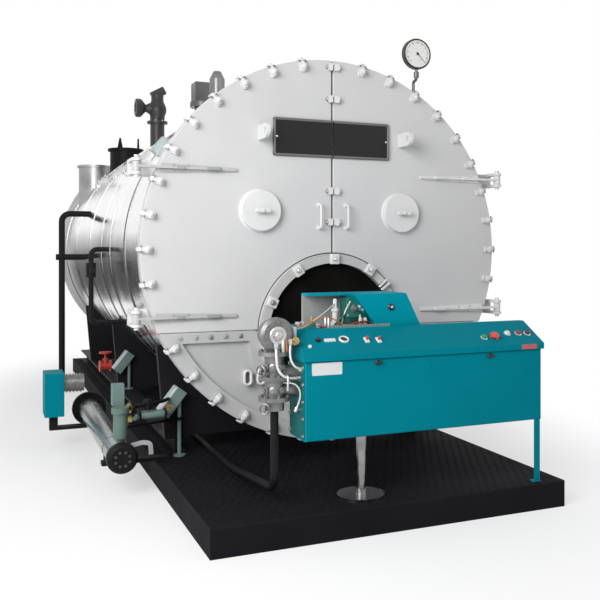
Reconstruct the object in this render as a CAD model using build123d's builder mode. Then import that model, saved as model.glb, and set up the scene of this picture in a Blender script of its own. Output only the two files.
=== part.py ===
from build123d import *
import math
import os

# All sizes are in millimetres. X is to the right, Y to the back, Z up, the ground is Z = 0 and the
# front of the doors is Y = 0. Heights whose names end in _H are measured from the boiler axis.

# Plinth and base frame
PLINTH_HALF_W = 1075.0
PLINTH_FRONT = -1040.0
PLINTH_REAR = 6040.0
PLINTH_T = 149.0
DECK_T = 6.0
DECK_Z = PLINTH_T + DECK_T
SHELL_R = 1170.0
SHELL_CLEAR = 210.0
AXIS_RISE = SHELL_R + SHELL_CLEAR
AXIS_Z = DECK_Z + AXIS_RISE
RAIL_INSET = 89.0
RAIL_OUT = PLINTH_HALF_W - RAIL_INSET
RAIL_W = 140.0
RAIL_T = 120.0
RAIL_WEB = 14.0
RAIL_FLANGE = 16.0
RAIL_FRONT = 553.0
SADDLE_T = 60.0
SADDLE_AT = (RAIL_FRONT, 2700.0, 4850.0)
SADDLE_TOP_H = -640.0
SADDLE_FOOT_T = 24.0
SADDLE_FOOT_W = 180.0

# Boiler body
RIM_REACH = 72.0
RIM_R = SHELL_R + RIM_REACH
CLAMP_INSET = 42.0
CLAMP_R = RIM_R - CLAMP_INSET
SHELL_WALL = 80.0
SHELL_END = 5900.0
RING_STEP = 15.0
RING_R = SHELL_R + RING_STEP
RING_WALL = 60.0
RING_LEN = 380.0
FLANGE_T = 40.0
TUBE_PLATE_T = 30.0
REAR_LID_T = 50.0
REAR_LID_R = SHELL_R - REAR_LID_T
BAND_T = 4.0
BAND_W = 60.0
BAND_AT = (1100.0, 1900.0, 2450.0, 3300.0, 4600.0, 5840.0)

# Burner opening
MOUTH_SHARE = 0.423
MOUTH_R = SHELL_R * MOUTH_SHARE
MOUTH_FACE = 53.0
MOUTH_IN_R = MOUTH_R - MOUTH_FACE
MOUTH_MARGIN = 143.0
MOUTH_H = MOUTH_R + MOUTH_MARGIN - SHELL_R
MOUTH_FRONT = -30.0
MOUTH_CLEAR = 15.0
MOUTH_LUGS = 11
MOUTH_LIP = 14.0
MOUTH_GROOVE = 12.0
MOUTH_LUG = 40.0
MOUTH_LUG_T = 14.0

# Front doors
DOOR_T = 60.0
DOOR_BACK_GAP = 6.0
DOOR_EDGE = 5.0
SEAM = 12.0
DOOR_LOW_RISE = 22.0
DOOR_LOW_H = MOUTH_H + DOOR_LOW_RISE
DOOR_LOW_GAP = 8.0
RING_FRONT = DOOR_T + DOOR_BACK_GAP
TUBE_PLATE_Y = RING_FRONT + RING_LEN
SHELL_START = TUBE_PLATE_Y + TUBE_PLATE_T

# Hinges
HINGE_ANGLES = (24.4, -20.2)
HINGE_H = tuple(CLAMP_R * math.sin(math.radians(angle)) for angle in HINGE_ANGLES)
KNUCKLE_R = 24.0
HINGE_OUT = RIM_R + KNUCKLE_R
HINGE_Y = -KNUCKLE_R
PIN_R = 15.0
PIN_FIT = 0.3
STRAP_T = 10.0
STRAP_W = 56.0
STRAP_TIP = 16.0
STRAP_TIP_W = 24.0
STRAP_L = 592.0
STRAP_IN = RIM_R - STRAP_L
RIB_T = 14.0
LUG_GAP = 3.0
LUG_T = 18.0
LUG_R = 30.0
BRACKET_T = 36.0
BRACKET_L = 147.0
BRACKET_IN = RIM_R - BRACKET_L

# Clamps round the rim and along the seam
CLAMP_L = 62.0
CLAMP_W = 44.0
CLAMP_T = 14.0
CLAMP_ROUND = 12.0
BOSS_R = 14.0
BOSS_T = 20.0
CLAMP_STEP = 10.0
DOOR_CLAMPS = 10
DOOR_CLAMP_FIRST = -10.0
PLATE_CLAMPS = 13
PLATE_CLAMP_FIRST = 210.0
EAR_W = 34.0
EAR_L = 46.0
EAR_T = 30.0
EAR_ROUND = 10.0
EAR_INSET = 47.0
EAR_OVER_PLATE = 139.0
EAR_LOW_H = (382.0, 179.0)

# Fittings on the doors
PLUG_X = 496.0
PLUG_H = 245.0
PLUG_R = 130.0
PLUG_T = 40.0
PLUG_EDGE = 5.0
KNOB_R = 20.0
KNOB_T = 26.0
LEVER_L = 104.0
LEVER_W = 30.0
LEVER_T = 18.0
LEVER_EDGE = 6.0
EYE_X = 495.0
EYE_H = 738.0
EYE_T = 22.0
EYE_R = 46.0
EYE_REACH = 140.0
EYE_HOLE_R = 20.0
PULL_X = 96.0
PULL_H = (139.0, 289.0)
PULL_R = 8.0
PULL_REACH = 48.0
PULL_BEND = 20.0
NAME_W = 410.0
NAME_H = (600.0, 846.0)
NAME_T = 12.0
EAR_H = (RIM_R - EAR_INSET, NAME_H[1] + EAR_OVER_PLATE, *EAR_LOW_H)

# Lower front plate and tube plate
PLATE_FRONT = 30.0
PLATE_INSET = 96.0
PLATE_RIM_R = RIM_R - PLATE_INSET
PLATE_BAR = 60.0
PLATE_SLOT = 70.0
BURNER_PLATE_Y = 50.0
BURNER_PLATE_T = 30.0
LINING_T = 40.0
LINING_INSET = 90.0
LINING_SEAM = 14.0
TUBE_R = 34.0
TUBE_EDGE = 130.0
TUBE_STEP = 105.0
TUBE_COUNTS = (29, 27, 23, 21, 17)
TUBE_FROM = 8.0
LOOP_SHARES = (0.42, 0.495)
LOOP_DROP_SHARE = 0.69
LOOP_TALL = 104.0
LOOP_WIDE = 60.0
LOOP_BAR = 16.0
LOOP_PROUD = 14.0

# Burner
CONSOLE_X = (-560.0, 935.0)
CONSOLE_Y = (-1000.0, -760.0)
CONSOLE_H = (-1010.0, -590.0)
CONSOLE_EDGE = 8.0
DESK_LIP = 34.0
DESK_BACK_H = -440.0
DESK_SHELF = 40.0
DESK_OVER = 12.0
BODY_X = (-420.0, 300.0)
BODY_BACK = -470.0
HOOD_Y = (-740.0, -490.0)
HOOD_FOOT_X = (85.0, 310.0)
HOOD_TOP_X = (-165.0, 165.0)
HOOD_LEFT = -395.0
HOOD_ROOF = 14.0
HOOD_ROOF_D = 110.0
HOOD_SIDE_H = -545.0
HOOD_BACK_T = 24.0
HOOD_TOP_H = -255.0
HOOD_EDGE = 10.0
THROAT_MARGIN = 24.0
THROAT_R = (MOUTH_IN_R - THROAT_MARGIN) / 2
THROAT_H = MOUTH_H - MOUTH_IN_R + THROAT_MARGIN + THROAT_R
HEAD_X = (-370.0, 60.0)
HEAD_Y = (-735.0, -560.0)
HEAD_H = -450.0
HEAD_R = 60.0
LEG_X = 905.0
LEG_W = 40.0
PEDESTAL_X = -166.0
PEDESTAL_Y = -830.0
PEDESTAL_R = 30.0
PEDESTAL_FOOT_R = 135.0
PEDESTAL_FOOT_T = 16.0
VALVE_X = -690.0
VALVE_Y = -880.0
VALVE_H = (-850.0, -450.0)
VALVE_R = 52.0
VALVE_FLANGE_R = 84.0
VALVE_FLANGE_T = 22.0
VALVE_FLANGES_H = (-800.0, -690.0, -560.0)
BONNET_R = 92.0
BONNET_T = 120.0
BONNET_RIM = 16.0
BONNET_RIM_T = 26.0
ARM_R = 38.0
ARMS_H = (-745.0, -655.0)
OIL_R = 22.0
OIL_BEND = 90.0
OIL_GAP = 156.0
OIL_FROM = (RAIL_W + OIL_GAP - RAIL_OUT, 1350.0)
OIL_SIDE = 10.0
OIL_TURN = (VALVE_X + OIL_SIDE, -60.0)

# Fittings on top
STEAM_X = -360.0
STEAM_Y = 4200.0
STEAM_R = 80.0
STEAM_ARM_R = 64.0
STEAM_FLANGE_R = 110.0
STEAM_FLANGE_T = 22.0
STEAM_NECK = 230.0
STEAM_NECK_H = SHELL_R + STEAM_NECK
STEAM_BODY_R = 112.0
STEAM_RISE = 140.0
STEAM_BODY_H = STEAM_NECK_H + STEAM_RISE
STEAM_REACH = 230.0
STEAM_BOLT_PCD_R = 90.0
STEAM_BOLT_R = 9.0
STEAM_BOLTS = 8
STEAM_BORE_R = 50.0
STEAM_BONNET_R = 70.0
STEAM_CAP_R = 94.0
STEAM_CAP_T = 60.0
STEAM_BONNET = 284.0
STEAM_TOP_H = STEAM_BODY_H + STEAM_BONNET
SAFETY_Y = 3000.0
SAFETY_R = 55.0
SAFETY_FLANGE_R = 95.0
SAFETY_FLANGE_T = 24.0
SAFETY_NECK = 250.0
SAFETY_FLANGE_H = SHELL_R + SAFETY_NECK
SAFETY_TOP_R = 74.0
SAFETY_RISE = 580.0
SAFETY_TOP_H = SHELL_R + SAFETY_RISE
NOZZLE_STEP = 600.0
NOZZLE_Y = SAFETY_Y + NOZZLE_STEP
NOZZLE_R = 84.0
NOZZLE_FLANGE_R = 130.0
NOZZLE_FLANGE_T = 26.0
NOZZLE_RISE = 570.0
NOZZLE_TOP_H = SHELL_R + NOZZLE_RISE
NOZZLE_BOX = 200.0
FLUE_INSET = 295.0
FLUE_X = FLUE_INSET - SHELL_R
FLUE_Y = 5400.0
FLUE_R = 190.0
FLUE_LIP = 18.0
FLUE_LIP_T = 26.0
FLUE_DROP = 170.0
FLUE_TOP_H = SHELL_R - FLUE_DROP
MANHOLE_INSET = 570.0
MANHOLE_X = MANHOLE_INSET - SHELL_R
MANHOLE_Y = 4850.0
MANHOLE_R = 175.0
MANHOLE_LID_R = 200.0
MANHOLE_LID_T = 26.0
MANHOLE_DROP = 14.0
MANHOLE_TOP_H = SHELL_R - MANHOLE_DROP
VENT_OFF = (-64.0, 140.0)
VENT_R = (34.0, 14.0)
VENT_TIP = 9.0
VENT_RISE = 130.0
GAUGE_X = 705.0
GAUGE_Y = 150.0
GAUGE_RISE = 213.0
GAUGE_H = SHELL_R + GAUGE_RISE
GAUGE_R = 108.0
GAUGE_T = 50.0
GAUGE_BEZEL = 12.0
GAUGE_DIAL = 8.0
GAUGE_STEM_R = 11.0
GAUGE_LOOP = 46.0
GAUGE_BEND = 22.0
GAUGE_LOOP_DROP = (268.0, 183.0)
GAUGE_LOOP_H = tuple(GAUGE_H - drop for drop in GAUGE_LOOP_DROP)
GAUGE_COCK_R = 19.0
GAUGE_COCK_T = 38.0
GAUGE_COCK_DROP = 146.0

# Pipes on the left side
FEED_OUT = 210.0
FEED_X = -SHELL_R - FEED_OUT
FEED_Y = 3840.0
FEED_H = 360.0
FEED_R = 30.0
FEED_BEND = 80.0
FEED_FOOT_Z = 200.0
FEED_FLANGE_R = 70.0
FEED_FLANGE_T = 20.0
FEED_TEE_H = -78.0
FEED_STUB = 56.0
LEVEL_OUT = 126.0
LEVEL_X = -SHELL_R - LEVEL_OUT
LEVEL_Y = 2040.0
LEVEL_H = (0.0, -600.0)
LEVEL_R = 20.0
LEVEL_BEND = 50.0
LEVEL_VALVE_H = -170.0
LEVEL_VALVE_R = 40.0
LEVEL_VALVE_T = 120.0

# Blow-down line on the left rail
BLOW_OUT = 70.0
BLOW_X = -RAIL_OUT - BLOW_OUT
BLOW_Y = 3050.0
BLOW_Z = 440.0
BLOW_R = 34.0
BLOW_HALF = 55.0
BLOW_FLANGE_R = 52.0
BLOW_FLANGE_T = 14.0
BLOW_BONNET = (26.0, 70.0)
BLOW_STEM = (9.0, 118.0)
BLOW_WHEEL_R = 58.0
BLOW_WHEEL_T = 14.0
BLOW_WHEEL_HOLES = 4
BLOW_WHEEL_HOLE_R = 15.0
BLOW_PIPE_R = 24.0
BLOW_POST_R = 16.0

# Oil heater beside the plinth
HEATER_R = 80.0
HEATER_GAP = 170.0
HEATER_X = -PLINTH_HALF_W - HEATER_GAP - HEATER_R
HEATER_Y = (170.0, 1900.0)
CRADLE_T = 25.0
HEATER_Z = DECK_Z + CRADLE_T + HEATER_R
HEATER_CAP_R = 94.0
HEATER_CAP_T = 60.0
HEATER_FLANGE_R = 130.0
HEATER_FLANGE_T = 40.0
CRADLE_AT = (450.0, 1700.0)
CRADLE_W = 70.0
CRADLE_HALF = 68.0
CRADLE_RISE = 42.0
CRADLE_LIP = 5.0
CRADLE_REACH = -HEATER_X + HEATER_R + CRADLE_LIP
FILTER_Y = 215.0
FILTER_R = 43.0
FILTER_TOP_Z = 560.0
FILTER_NECK_R = 22.0
FILTER_NECK = 20.0
FILTER_HEAD = 36.0
FILTER_HEAD_R = 54.0
STAT_Y = 330.0
STAT_W = 72.0
STAT_Z = (555.0, 688.0)
STAT_STEM_R = 14.0
BOX_GAP = 285.0
BOX_X = HEATER_X - BOX_GAP
BOX_W = 140.0
BOX_D = 250.0
BOX_Z = (272.0, 597.0)
BOX_POST = 60.0
MOTOR_R = 64.0
MOTOR_LEN = 150.0
MOTOR_Z = 505.0
MOTOR_RIBS = 5
MOTOR_RIB = 8.0
MOTOR_RIB_R = 72.0
ACT_IN = 36.0
ACT_X = ACT_IN - RAIL_OUT
ACT_GAP = 53.0
ACT_W = (74.0, 90.0, 200.0)
ACT_TILT = 38.0
ACT_Z = 520.0
ACT_POST_OFF = 50.0
ACT_POST_RISE = 40.0
ACT_POST_R = 13.0
ACT_FOOT_R = 40.0
ACT_FOOT_T = 10.0
LINE_R = 14.0
LINE_Z = 480.0
LINE_BEND = 40.0
LINE_OUT = 110.0


def front(y):
    """Gives the plane square to the boiler axis at depth y, facing the front and centred on the axis."""
    return Plane(origin=(0, y, AXIS_Z), x_dir=(1, 0, 0), z_dir=(0, -1, 0))


def over(h):
    """Gives the height above the ground of a point h above the boiler axis."""
    return AXIS_Z + h


def block(x, y, z, mode=Mode.ADD):
    """Adds a box between three pairs of limits to the part being built."""
    with Locations(((x[0] + x[1]) / 2, (y[0] + y[1]) / 2, (z[0] + z[1]) / 2)):
        Box(abs(x[1] - x[0]), abs(y[1] - y[0]), abs(z[1] - z[0]), mode=mode)


def drum(x, y, z, radius, mode=Mode.ADD):
    """Adds a round bar along Y between the two depths of y."""
    with Locations(Location((x, (y[0] + y[1]) / 2, z), (90, 0, 0))):
        Cylinder(radius, abs(y[1] - y[0]), mode=mode)


def post(x, y, z, radius, mode=Mode.ADD):
    """Adds a round bar along Z between the two heights of z."""
    with Locations((x, y, (z[0] + z[1]) / 2)):
        Cylinder(radius, abs(z[1] - z[0]), mode=mode)


def arm(x, y, z, radius, mode=Mode.ADD):
    """Adds a round bar along X between the two limits of x."""
    with Locations(Location(((x[0] + x[1]) / 2, y, z), (0, 90, 0))):
        Cylinder(radius, abs(x[1] - x[0]), mode=mode)


def pipe(points, radius, bend):
    """Sweeps a round bar along straight runs joined by tangent arcs."""
    with BuildLine() as run:
        FilletPolyline(*points, radius=bend)
    with BuildSketch(Plane(origin=run.line @ 0, z_dir=run.line % 0)) as ring:
        Circle(radius)
    sweep(sections=ring.sketch, path=run.line)


def turned(x, y, outline):
    """Revolves an outline of radius and height about the vertical through x and y."""
    with BuildSketch(Plane(origin=(x, y, 0), x_dir=(1, 0, 0), z_dir=(0, -1, 0))) as half:
        with BuildLine():
            Polyline(*outline, close=True)
        make_face()
    revolve(half.sketch, axis=Axis((x, y, 0), (0, 0, 1)))


def faced(x, z, outline):
    """Revolves an outline of depth and radius about the line along Y through x and z."""
    with BuildSketch(Plane(origin=(x, 0, z), x_dir=(0, 1, 0), z_dir=(1, 0, 0))) as half:
        with BuildLine():
            Polyline(*outline, close=True)
        make_face()
    revolve(half.sketch, axis=Axis((x, 0, z), (0, 1, 0)))


def clamp_row(count, first):
    """Adds a row of rim clamps, each a rounded pad with a round boss for its bolt."""
    with BuildSketch(front(0)) as pads:
        with PolarLocations(CLAMP_R, count, first, count * CLAMP_STEP):
            RectangleRounded(CLAMP_L, CLAMP_W, CLAMP_ROUND)
    extrude(pads.sketch, amount=CLAMP_T)
    with BuildSketch(front(-CLAMP_T)) as bosses:
        with PolarLocations(CLAMP_R, count, first, count * CLAMP_STEP):
            Circle(BOSS_R)
    extrude(bosses.sketch, amount=BOSS_T)


def seat_on_shell():
    """Cuts away what lies inside the boiler shell, so that a fitting sits on its surface."""
    drum(0, (SHELL_START, SHELL_END), AXIS_Z, SHELL_R, Mode.SUBTRACT)


def save(solid, name):
    """Names a finished piece and writes its file."""
    solid.label = name
    export_step(solid, f"parts/{name}.step")


os.makedirs("parts", exist_ok=True)

# Plinth and base frame
with BuildPart() as plinth:
    block((-PLINTH_HALF_W, PLINTH_HALF_W), (PLINTH_FRONT, PLINTH_REAR), (0, PLINTH_T))
save(plinth.part, "plinth")

with BuildPart() as deck_plate:
    block((-PLINTH_HALF_W, PLINTH_HALF_W), (PLINTH_FRONT, PLINTH_REAR), (PLINTH_T, DECK_Z))
save(deck_plate.part, "deck_plate")

RAIL_TOP = DECK_Z + RAIL_T
with BuildPart() as base_rails:
    for side in (-1, 1):
        limits = (side * RAIL_OUT, side * (RAIL_OUT - RAIL_W))
        middle = side * (RAIL_OUT - RAIL_W / 2)
        block(limits, (RAIL_FRONT, SHELL_END), (DECK_Z, DECK_Z + RAIL_FLANGE))
        block(limits, (RAIL_FRONT, SHELL_END), (RAIL_TOP - RAIL_FLANGE, RAIL_TOP))
        block((middle - RAIL_WEB / 2, middle + RAIL_WEB / 2), (RAIL_FRONT, SHELL_END), (DECK_Z, RAIL_TOP))
save(base_rails.part, "base_rails")

with BuildPart() as saddles:
    for start in SADDLE_AT:
        with BuildSketch(front(start + SADDLE_T)):
            with BuildLine():
                Polyline(
                    (-RAIL_OUT, RAIL_TOP - AXIS_Z),
                    (RAIL_OUT, RAIL_TOP - AXIS_Z),
                    (math.sqrt(SHELL_R**2 - SADDLE_TOP_H**2) + SADDLE_T, SADDLE_TOP_H),
                    (-math.sqrt(SHELL_R**2 - SADDLE_TOP_H**2) - SADDLE_T, SADDLE_TOP_H),
                    close=True,
                )
            make_face()
            Circle(SHELL_R, mode=Mode.SUBTRACT)
        extrude(amount=SADDLE_T)
        for side in (-1, 1):
            foot = (start + SADDLE_T, start + SADDLE_T + SADDLE_FOOT_W)
            block((side * RAIL_OUT, side * (RAIL_OUT - RAIL_W)), foot, (RAIL_TOP, RAIL_TOP + SADDLE_FOOT_T))
save(saddles.part, "saddles")

# Boiler body
with BuildPart() as boiler_shell:
    drum(0, (SHELL_START, SHELL_END), AXIS_Z, SHELL_R)
    drum(0, (SHELL_START, SHELL_END), AXIS_Z, SHELL_R - SHELL_WALL, Mode.SUBTRACT)
save(boiler_shell.part, "boiler_shell")

with BuildPart() as cladding_bands:
    for middle in BAND_AT:
        with BuildSketch(front(middle + BAND_W / 2)):
            Circle(SHELL_R + BAND_T)
            Circle(SHELL_R, mode=Mode.SUBTRACT)
        extrude(amount=BAND_W)
save(cladding_bands.part, "cladding_bands")

with BuildPart() as smokebox_ring:
    drum(0, (RING_FRONT, RING_FRONT + FLANGE_T), AXIS_Z, RIM_R)
    drum(0, (RING_FRONT, TUBE_PLATE_Y), AXIS_Z, RING_R)
    drum(0, (RING_FRONT, TUBE_PLATE_Y), AXIS_Z, RING_R - RING_WALL, Mode.SUBTRACT)
save(smokebox_ring.part, "smokebox_ring")

with BuildPart() as front_tube_plate:
    with BuildSketch(front(SHELL_START)):
        Circle(RING_R)
        for row, count in enumerate(TUBE_COUNTS):
            radius = SHELL_R - TUBE_EDGE - row * TUBE_STEP
            with PolarLocations(radius, count, TUBE_FROM, 180 - 2 * TUBE_FROM, endpoint=True):
                Circle(TUBE_R, mode=Mode.SUBTRACT)
    extrude(amount=TUBE_PLATE_T)
save(front_tube_plate.part, "front_tube_plate")

with BuildPart() as furnace_neck:
    drum(0, (RING_FRONT, TUBE_PLATE_Y), over(MOUTH_H), MOUTH_R)
    drum(0, (RING_FRONT, TUBE_PLATE_Y), over(MOUTH_H), MOUTH_IN_R, Mode.SUBTRACT)
save(furnace_neck.part, "furnace_neck")

with BuildPart() as rear_cover:
    drum(0, (SHELL_END, SHELL_END + FLANGE_T), AXIS_Z, RIM_R)
    drum(0, (SHELL_END, SHELL_END + FLANGE_T + REAR_LID_T), AXIS_Z, REAR_LID_R)
    fillet(rear_cover.faces().sort_by(Axis.Y)[-1].edges(), REAR_LID_T / 2)
save(rear_cover.part, "rear_cover")

# Lower front plate with its clamps, and the burner opening
PLATE_TOP_H = DOOR_LOW_H - DOOR_LOW_GAP
with BuildPart() as lower_front_plate:
    with BuildSketch(front(RING_FRONT)):
        Circle(RIM_R)
        with Locations((0, PLATE_TOP_H + RIM_R)):
            Rectangle(2 * RIM_R, 2 * RIM_R, mode=Mode.SUBTRACT)
        with Locations((0, MOUTH_H)):
            Circle(MOUTH_R, mode=Mode.SUBTRACT)
    extrude(amount=RING_FRONT)
    with BuildSketch(front(PLATE_FRONT)):
        Circle(PLATE_RIM_R)
        with Locations((0, PLATE_TOP_H - PLATE_BAR + RIM_R)):
            Rectangle(2 * RIM_R, 2 * RIM_R, mode=Mode.SUBTRACT)
        with Locations((0, MOUTH_H)):
            Circle(MOUTH_R + PLATE_SLOT, mode=Mode.SUBTRACT)
    extrude(amount=PLATE_FRONT, mode=Mode.SUBTRACT)
    clamp_row(PLATE_CLAMPS, PLATE_CLAMP_FIRST)
    with BuildSketch(front(PLATE_FRONT)):
        drop = -SHELL_R * LOOP_DROP_SHARE
        hole = (LOOP_TALL - 2 * LOOP_BAR, LOOP_WIDE - 2 * LOOP_BAR)
        for x_loop in (SHELL_R * share for share in LOOP_SHARES):
            with Locations((-x_loop, drop), (x_loop, drop)):
                SlotOverall(LOOP_TALL, LOOP_WIDE, rotation=90)
                SlotOverall(*hole, rotation=90, mode=Mode.SUBTRACT)
    extrude(amount=PLATE_FRONT + LOOP_PROUD)
save(lower_front_plate.part, "lower_front_plate")

with BuildPart() as burner_ring:
    floor = MOUTH_FRONT + MOUTH_GROOVE
    lips = (MOUTH_IN_R + MOUTH_LIP, MOUTH_R - MOUTH_LIP)
    section = [(RING_FRONT, MOUTH_IN_R), (MOUTH_FRONT, MOUTH_IN_R), (MOUTH_FRONT, lips[0])]
    section += [(floor, lips[0]), (floor, lips[1]), (MOUTH_FRONT, lips[1])]
    section += [(MOUTH_FRONT, MOUTH_R), (RING_FRONT, MOUTH_R)]
    faced(0, over(MOUTH_H), section)
    with BuildSketch(Plane(origin=(0, floor, over(MOUTH_H)), x_dir=(1, 0, 0), z_dir=(0, -1, 0))):
        with PolarLocations((MOUTH_R + MOUTH_IN_R) / 2, MOUTH_LUGS, 90):
            Rectangle(MOUTH_LUG, MOUTH_LUG)
    extrude(amount=MOUTH_GROOVE + MOUTH_LUG_T)
save(burner_ring.part, "burner_ring")

with BuildPart() as burner_plate:
    drum(0, (BURNER_PLATE_Y - BURNER_PLATE_T, BURNER_PLATE_Y), over(MOUTH_H), MOUTH_IN_R)
save(burner_plate.part, "burner_plate")

# Hinge brackets with their pins, on the rim flange
with BuildPart() as hinge_brackets:
    back = RING_FRONT + FLANGE_T
    half = STRAP_W / 2 + LUG_GAP
    for side in (-1, 1):
        for h in HINGE_H:
            x_pin = side * HINGE_OUT
            x_out = x_pin + side * LUG_R
            x_in = x_pin - side * LUG_R
            tall = (over(h) - half - LUG_T, over(h) + half + LUG_T)
            block((x_out, side * BRACKET_IN), (back, back + BRACKET_T), tall)
            for low in (over(h) - half - LUG_T, over(h) + half):
                block((x_out, x_in), (HINGE_Y, back), (low, low + LUG_T))
                post(x_pin, HINGE_Y, (low, low + LUG_T), LUG_R)
            post(x_pin, HINGE_Y, (tall[0] - LUG_T, tall[1] + LUG_T), PIN_R)
    drum(0, (back, TUBE_PLATE_Y), AXIS_Z, RING_R, Mode.SUBTRACT)
save(hinge_brackets.part, "hinge_brackets")

# Front doors, one to each side of the seam
for side, hand in ((-1, "left"), (1, "right")):
    inner = side * SEAM / 2
    with BuildPart() as door:
        with BuildSketch(front(DOOR_T)):
            Circle(RIM_R)
            with Locations((inner + side * RIM_R / 2, DOOR_LOW_H + RIM_R)):
                Rectangle(RIM_R, 2 * RIM_R, mode=Mode.INTERSECT)
            with Locations((0, MOUTH_H)):
                Circle(MOUTH_R + MOUTH_CLEAR, mode=Mode.SUBTRACT)
        extrude(amount=DOOR_T)
        fillet(door.faces().sort_by(Axis.Y)[0].edges(), DOOR_EDGE)
    save(door.part, f"{hand}_door")

    with BuildPart() as lining:
        with BuildSketch(front(DOOR_T + LINING_T)):
            Circle(RING_R - RING_WALL - LINING_INSET / 2)
            with Locations((inner + side * (RIM_R / 2 + LINING_SEAM), DOOR_LOW_H + LINING_INSET + RIM_R)):
                Rectangle(RIM_R, 2 * RIM_R, mode=Mode.INTERSECT)
            with Locations((0, MOUTH_H)):
                Circle(MOUTH_R + MOUTH_CLEAR, mode=Mode.SUBTRACT)
        extrude(amount=LINING_T)
        chamfer(lining.faces().sort_by(Axis.Y)[-1].edges(), LINING_T / 3)
    save(lining.part, f"{hand}_door_lining")

    with BuildPart() as straps:
        for h in HINGE_H:
            level = (over(h) - STRAP_W / 2, over(h) + STRAP_W / 2)
            rim_x = math.sqrt(RIM_R**2 - h**2) - CLAMP_W / 2
            with BuildSketch(front(0)):
                with BuildLine():
                    Polyline(
                        (side * rim_x, h - STRAP_W / 2),
                        (side * rim_x, h + STRAP_W / 2),
                        (side * STRAP_IN, h + STRAP_TIP_W / 2),
                        (side * STRAP_IN, h - STRAP_TIP_W / 2),
                        close=True,
                    )
                make_face()
            extrude(amount=STRAP_T)
            with BuildSketch(Plane.XY.offset(over(h) - RIB_T / 2)):
                with BuildLine():
                    Polyline(
                        (side * HINGE_OUT, 0),
                        (side * STRAP_IN, 0),
                        (side * STRAP_IN, -STRAP_TIP),
                        (side * HINGE_OUT, 2 * HINGE_Y),
                        close=True,
                    )
                make_face()
            extrude(amount=RIB_T)
            post(side * HINGE_OUT, HINGE_Y, level, KNUCKLE_R)
            post(side * HINGE_OUT, HINGE_Y, level, PIN_R + PIN_FIT, Mode.SUBTRACT)
    save(straps.part, f"{hand}_hinge_straps")

    with BuildPart() as plug:
        drum(side * PLUG_X, (-PLUG_T, 0), over(PLUG_H), PLUG_R)
        fillet(plug.faces().sort_by(Axis.Y)[0].edges(), PLUG_EDGE)
        drum(side * PLUG_X, (-PLUG_T - KNOB_T, -PLUG_T), over(PLUG_H), KNOB_R)
        with BuildSketch(front(-PLUG_T - KNOB_T)):
            with Locations((side * PLUG_X, PLUG_H)):
                SlotOverall(LEVER_L, LEVER_W)
        extrude(amount=LEVER_T)
        fillet(plug.faces().sort_by(Axis.Y)[0].edges(), LEVER_EDGE)
    save(plug.part, f"{hand}_door_plug")

    with BuildPart() as ironwork:
        eye_face = side * EYE_X + EYE_T / 2
        with BuildSketch(Plane(origin=(eye_face, 0, over(EYE_H)), x_dir=(0, -1, 0), z_dir=(-1, 0, 0))):
            with Locations((EYE_REACH / 2, 0)):
                Rectangle(EYE_REACH, 2 * EYE_R)
            with Locations((EYE_REACH, 0)):
                Circle(EYE_R)
                Circle(EYE_HOLE_R, mode=Mode.SUBTRACT)
        extrude(amount=EYE_T)
        x_pull = side * PULL_X
        grip = [(x_pull, 0, over(PULL_H[0])), (x_pull, -PULL_REACH, over(PULL_H[0]))]
        grip += [(x_pull, -PULL_REACH, over(PULL_H[1])), (x_pull, 0, over(PULL_H[1]))]
        pipe(grip, PULL_R, PULL_BEND)
    save(ironwork.part, f"{hand}_door_ironwork")

    first = DOOR_CLAMP_FIRST if side > 0 else 180 - DOOR_CLAMP_FIRST - (DOOR_CLAMPS - 1) * CLAMP_STEP
    with BuildPart() as clamps:
        clamp_row(DOOR_CLAMPS, first)
        with BuildSketch(front(0)):
            for h in EAR_H:
                with Locations((inner + side * EAR_W / 2, h)):
                    RectangleRounded(EAR_W, EAR_L, EAR_ROUND)
        extrude(amount=EAR_T)
    save(clamps.part, f"{hand}_rim_clamps")

    with BuildPart() as nameplate:
        block((inner, side * NAME_W), (-NAME_T, 0), (over(NAME_H[0]), over(NAME_H[1])))
        fillet(nameplate.edges().filter_by(Axis.Y).group_by(Axis.X)[0 if side < 0 else -1], NAME_T)
    save(nameplate.part, f"{hand}_nameplate")

# Burner in front of the boiler
CONSOLE_Z = (over(CONSOLE_H[0]), over(CONSOLE_H[1]))
with BuildPart() as burner_body:
    block(BODY_X, (CONSOLE_Y[1], BODY_BACK), CONSOLE_Z)
    fillet(burner_body.edges().filter_by(Axis.Z), CONSOLE_EDGE)
    drum(0, (BODY_BACK, BURNER_PLATE_Y - BURNER_PLATE_T), over(THROAT_H), THROAT_R)
    block(HEAD_X, HEAD_Y, (CONSOLE_Z[1], over(HEAD_H)))
    middle = ((HEAD_X[0] + HEAD_X[1]) / 2, (HEAD_Y[0] + HEAD_Y[1]) / 2)
    post(*middle, (over(HEAD_H), over(HEAD_H) + HEAD_R), HEAD_R)
save(burner_body.part, "burner_body")

with BuildPart() as burner_console:
    block(CONSOLE_X, CONSOLE_Y, CONSOLE_Z)
    fillet(burner_console.faces().sort_by(Axis.Y)[0].edges(), CONSOLE_EDGE)
save(burner_console.part, "burner_console")

DESK_X = (CONSOLE_X[0] - DESK_OVER, CONSOLE_X[1] + DESK_OVER)
with BuildPart() as control_desk:
    with BuildSketch(Plane(origin=(DESK_X[1], 0, over(0)), x_dir=(0, -1, 0), z_dir=(-1, 0, 0))):
        with BuildLine():
            Polyline(
                (-CONSOLE_Y[1], CONSOLE_H[1]),
                (-CONSOLE_Y[0] + DESK_OVER, CONSOLE_H[1]),
                (-CONSOLE_Y[0] + DESK_OVER, CONSOLE_H[1] + DESK_LIP),
                (-CONSOLE_Y[1] + DESK_SHELF, DESK_BACK_H),
                (-CONSOLE_Y[1], DESK_BACK_H),
                close=True,
            )
        make_face()
    extrude(amount=DESK_X[1] - DESK_X[0])
save(control_desk.part, "control_desk")

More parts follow.
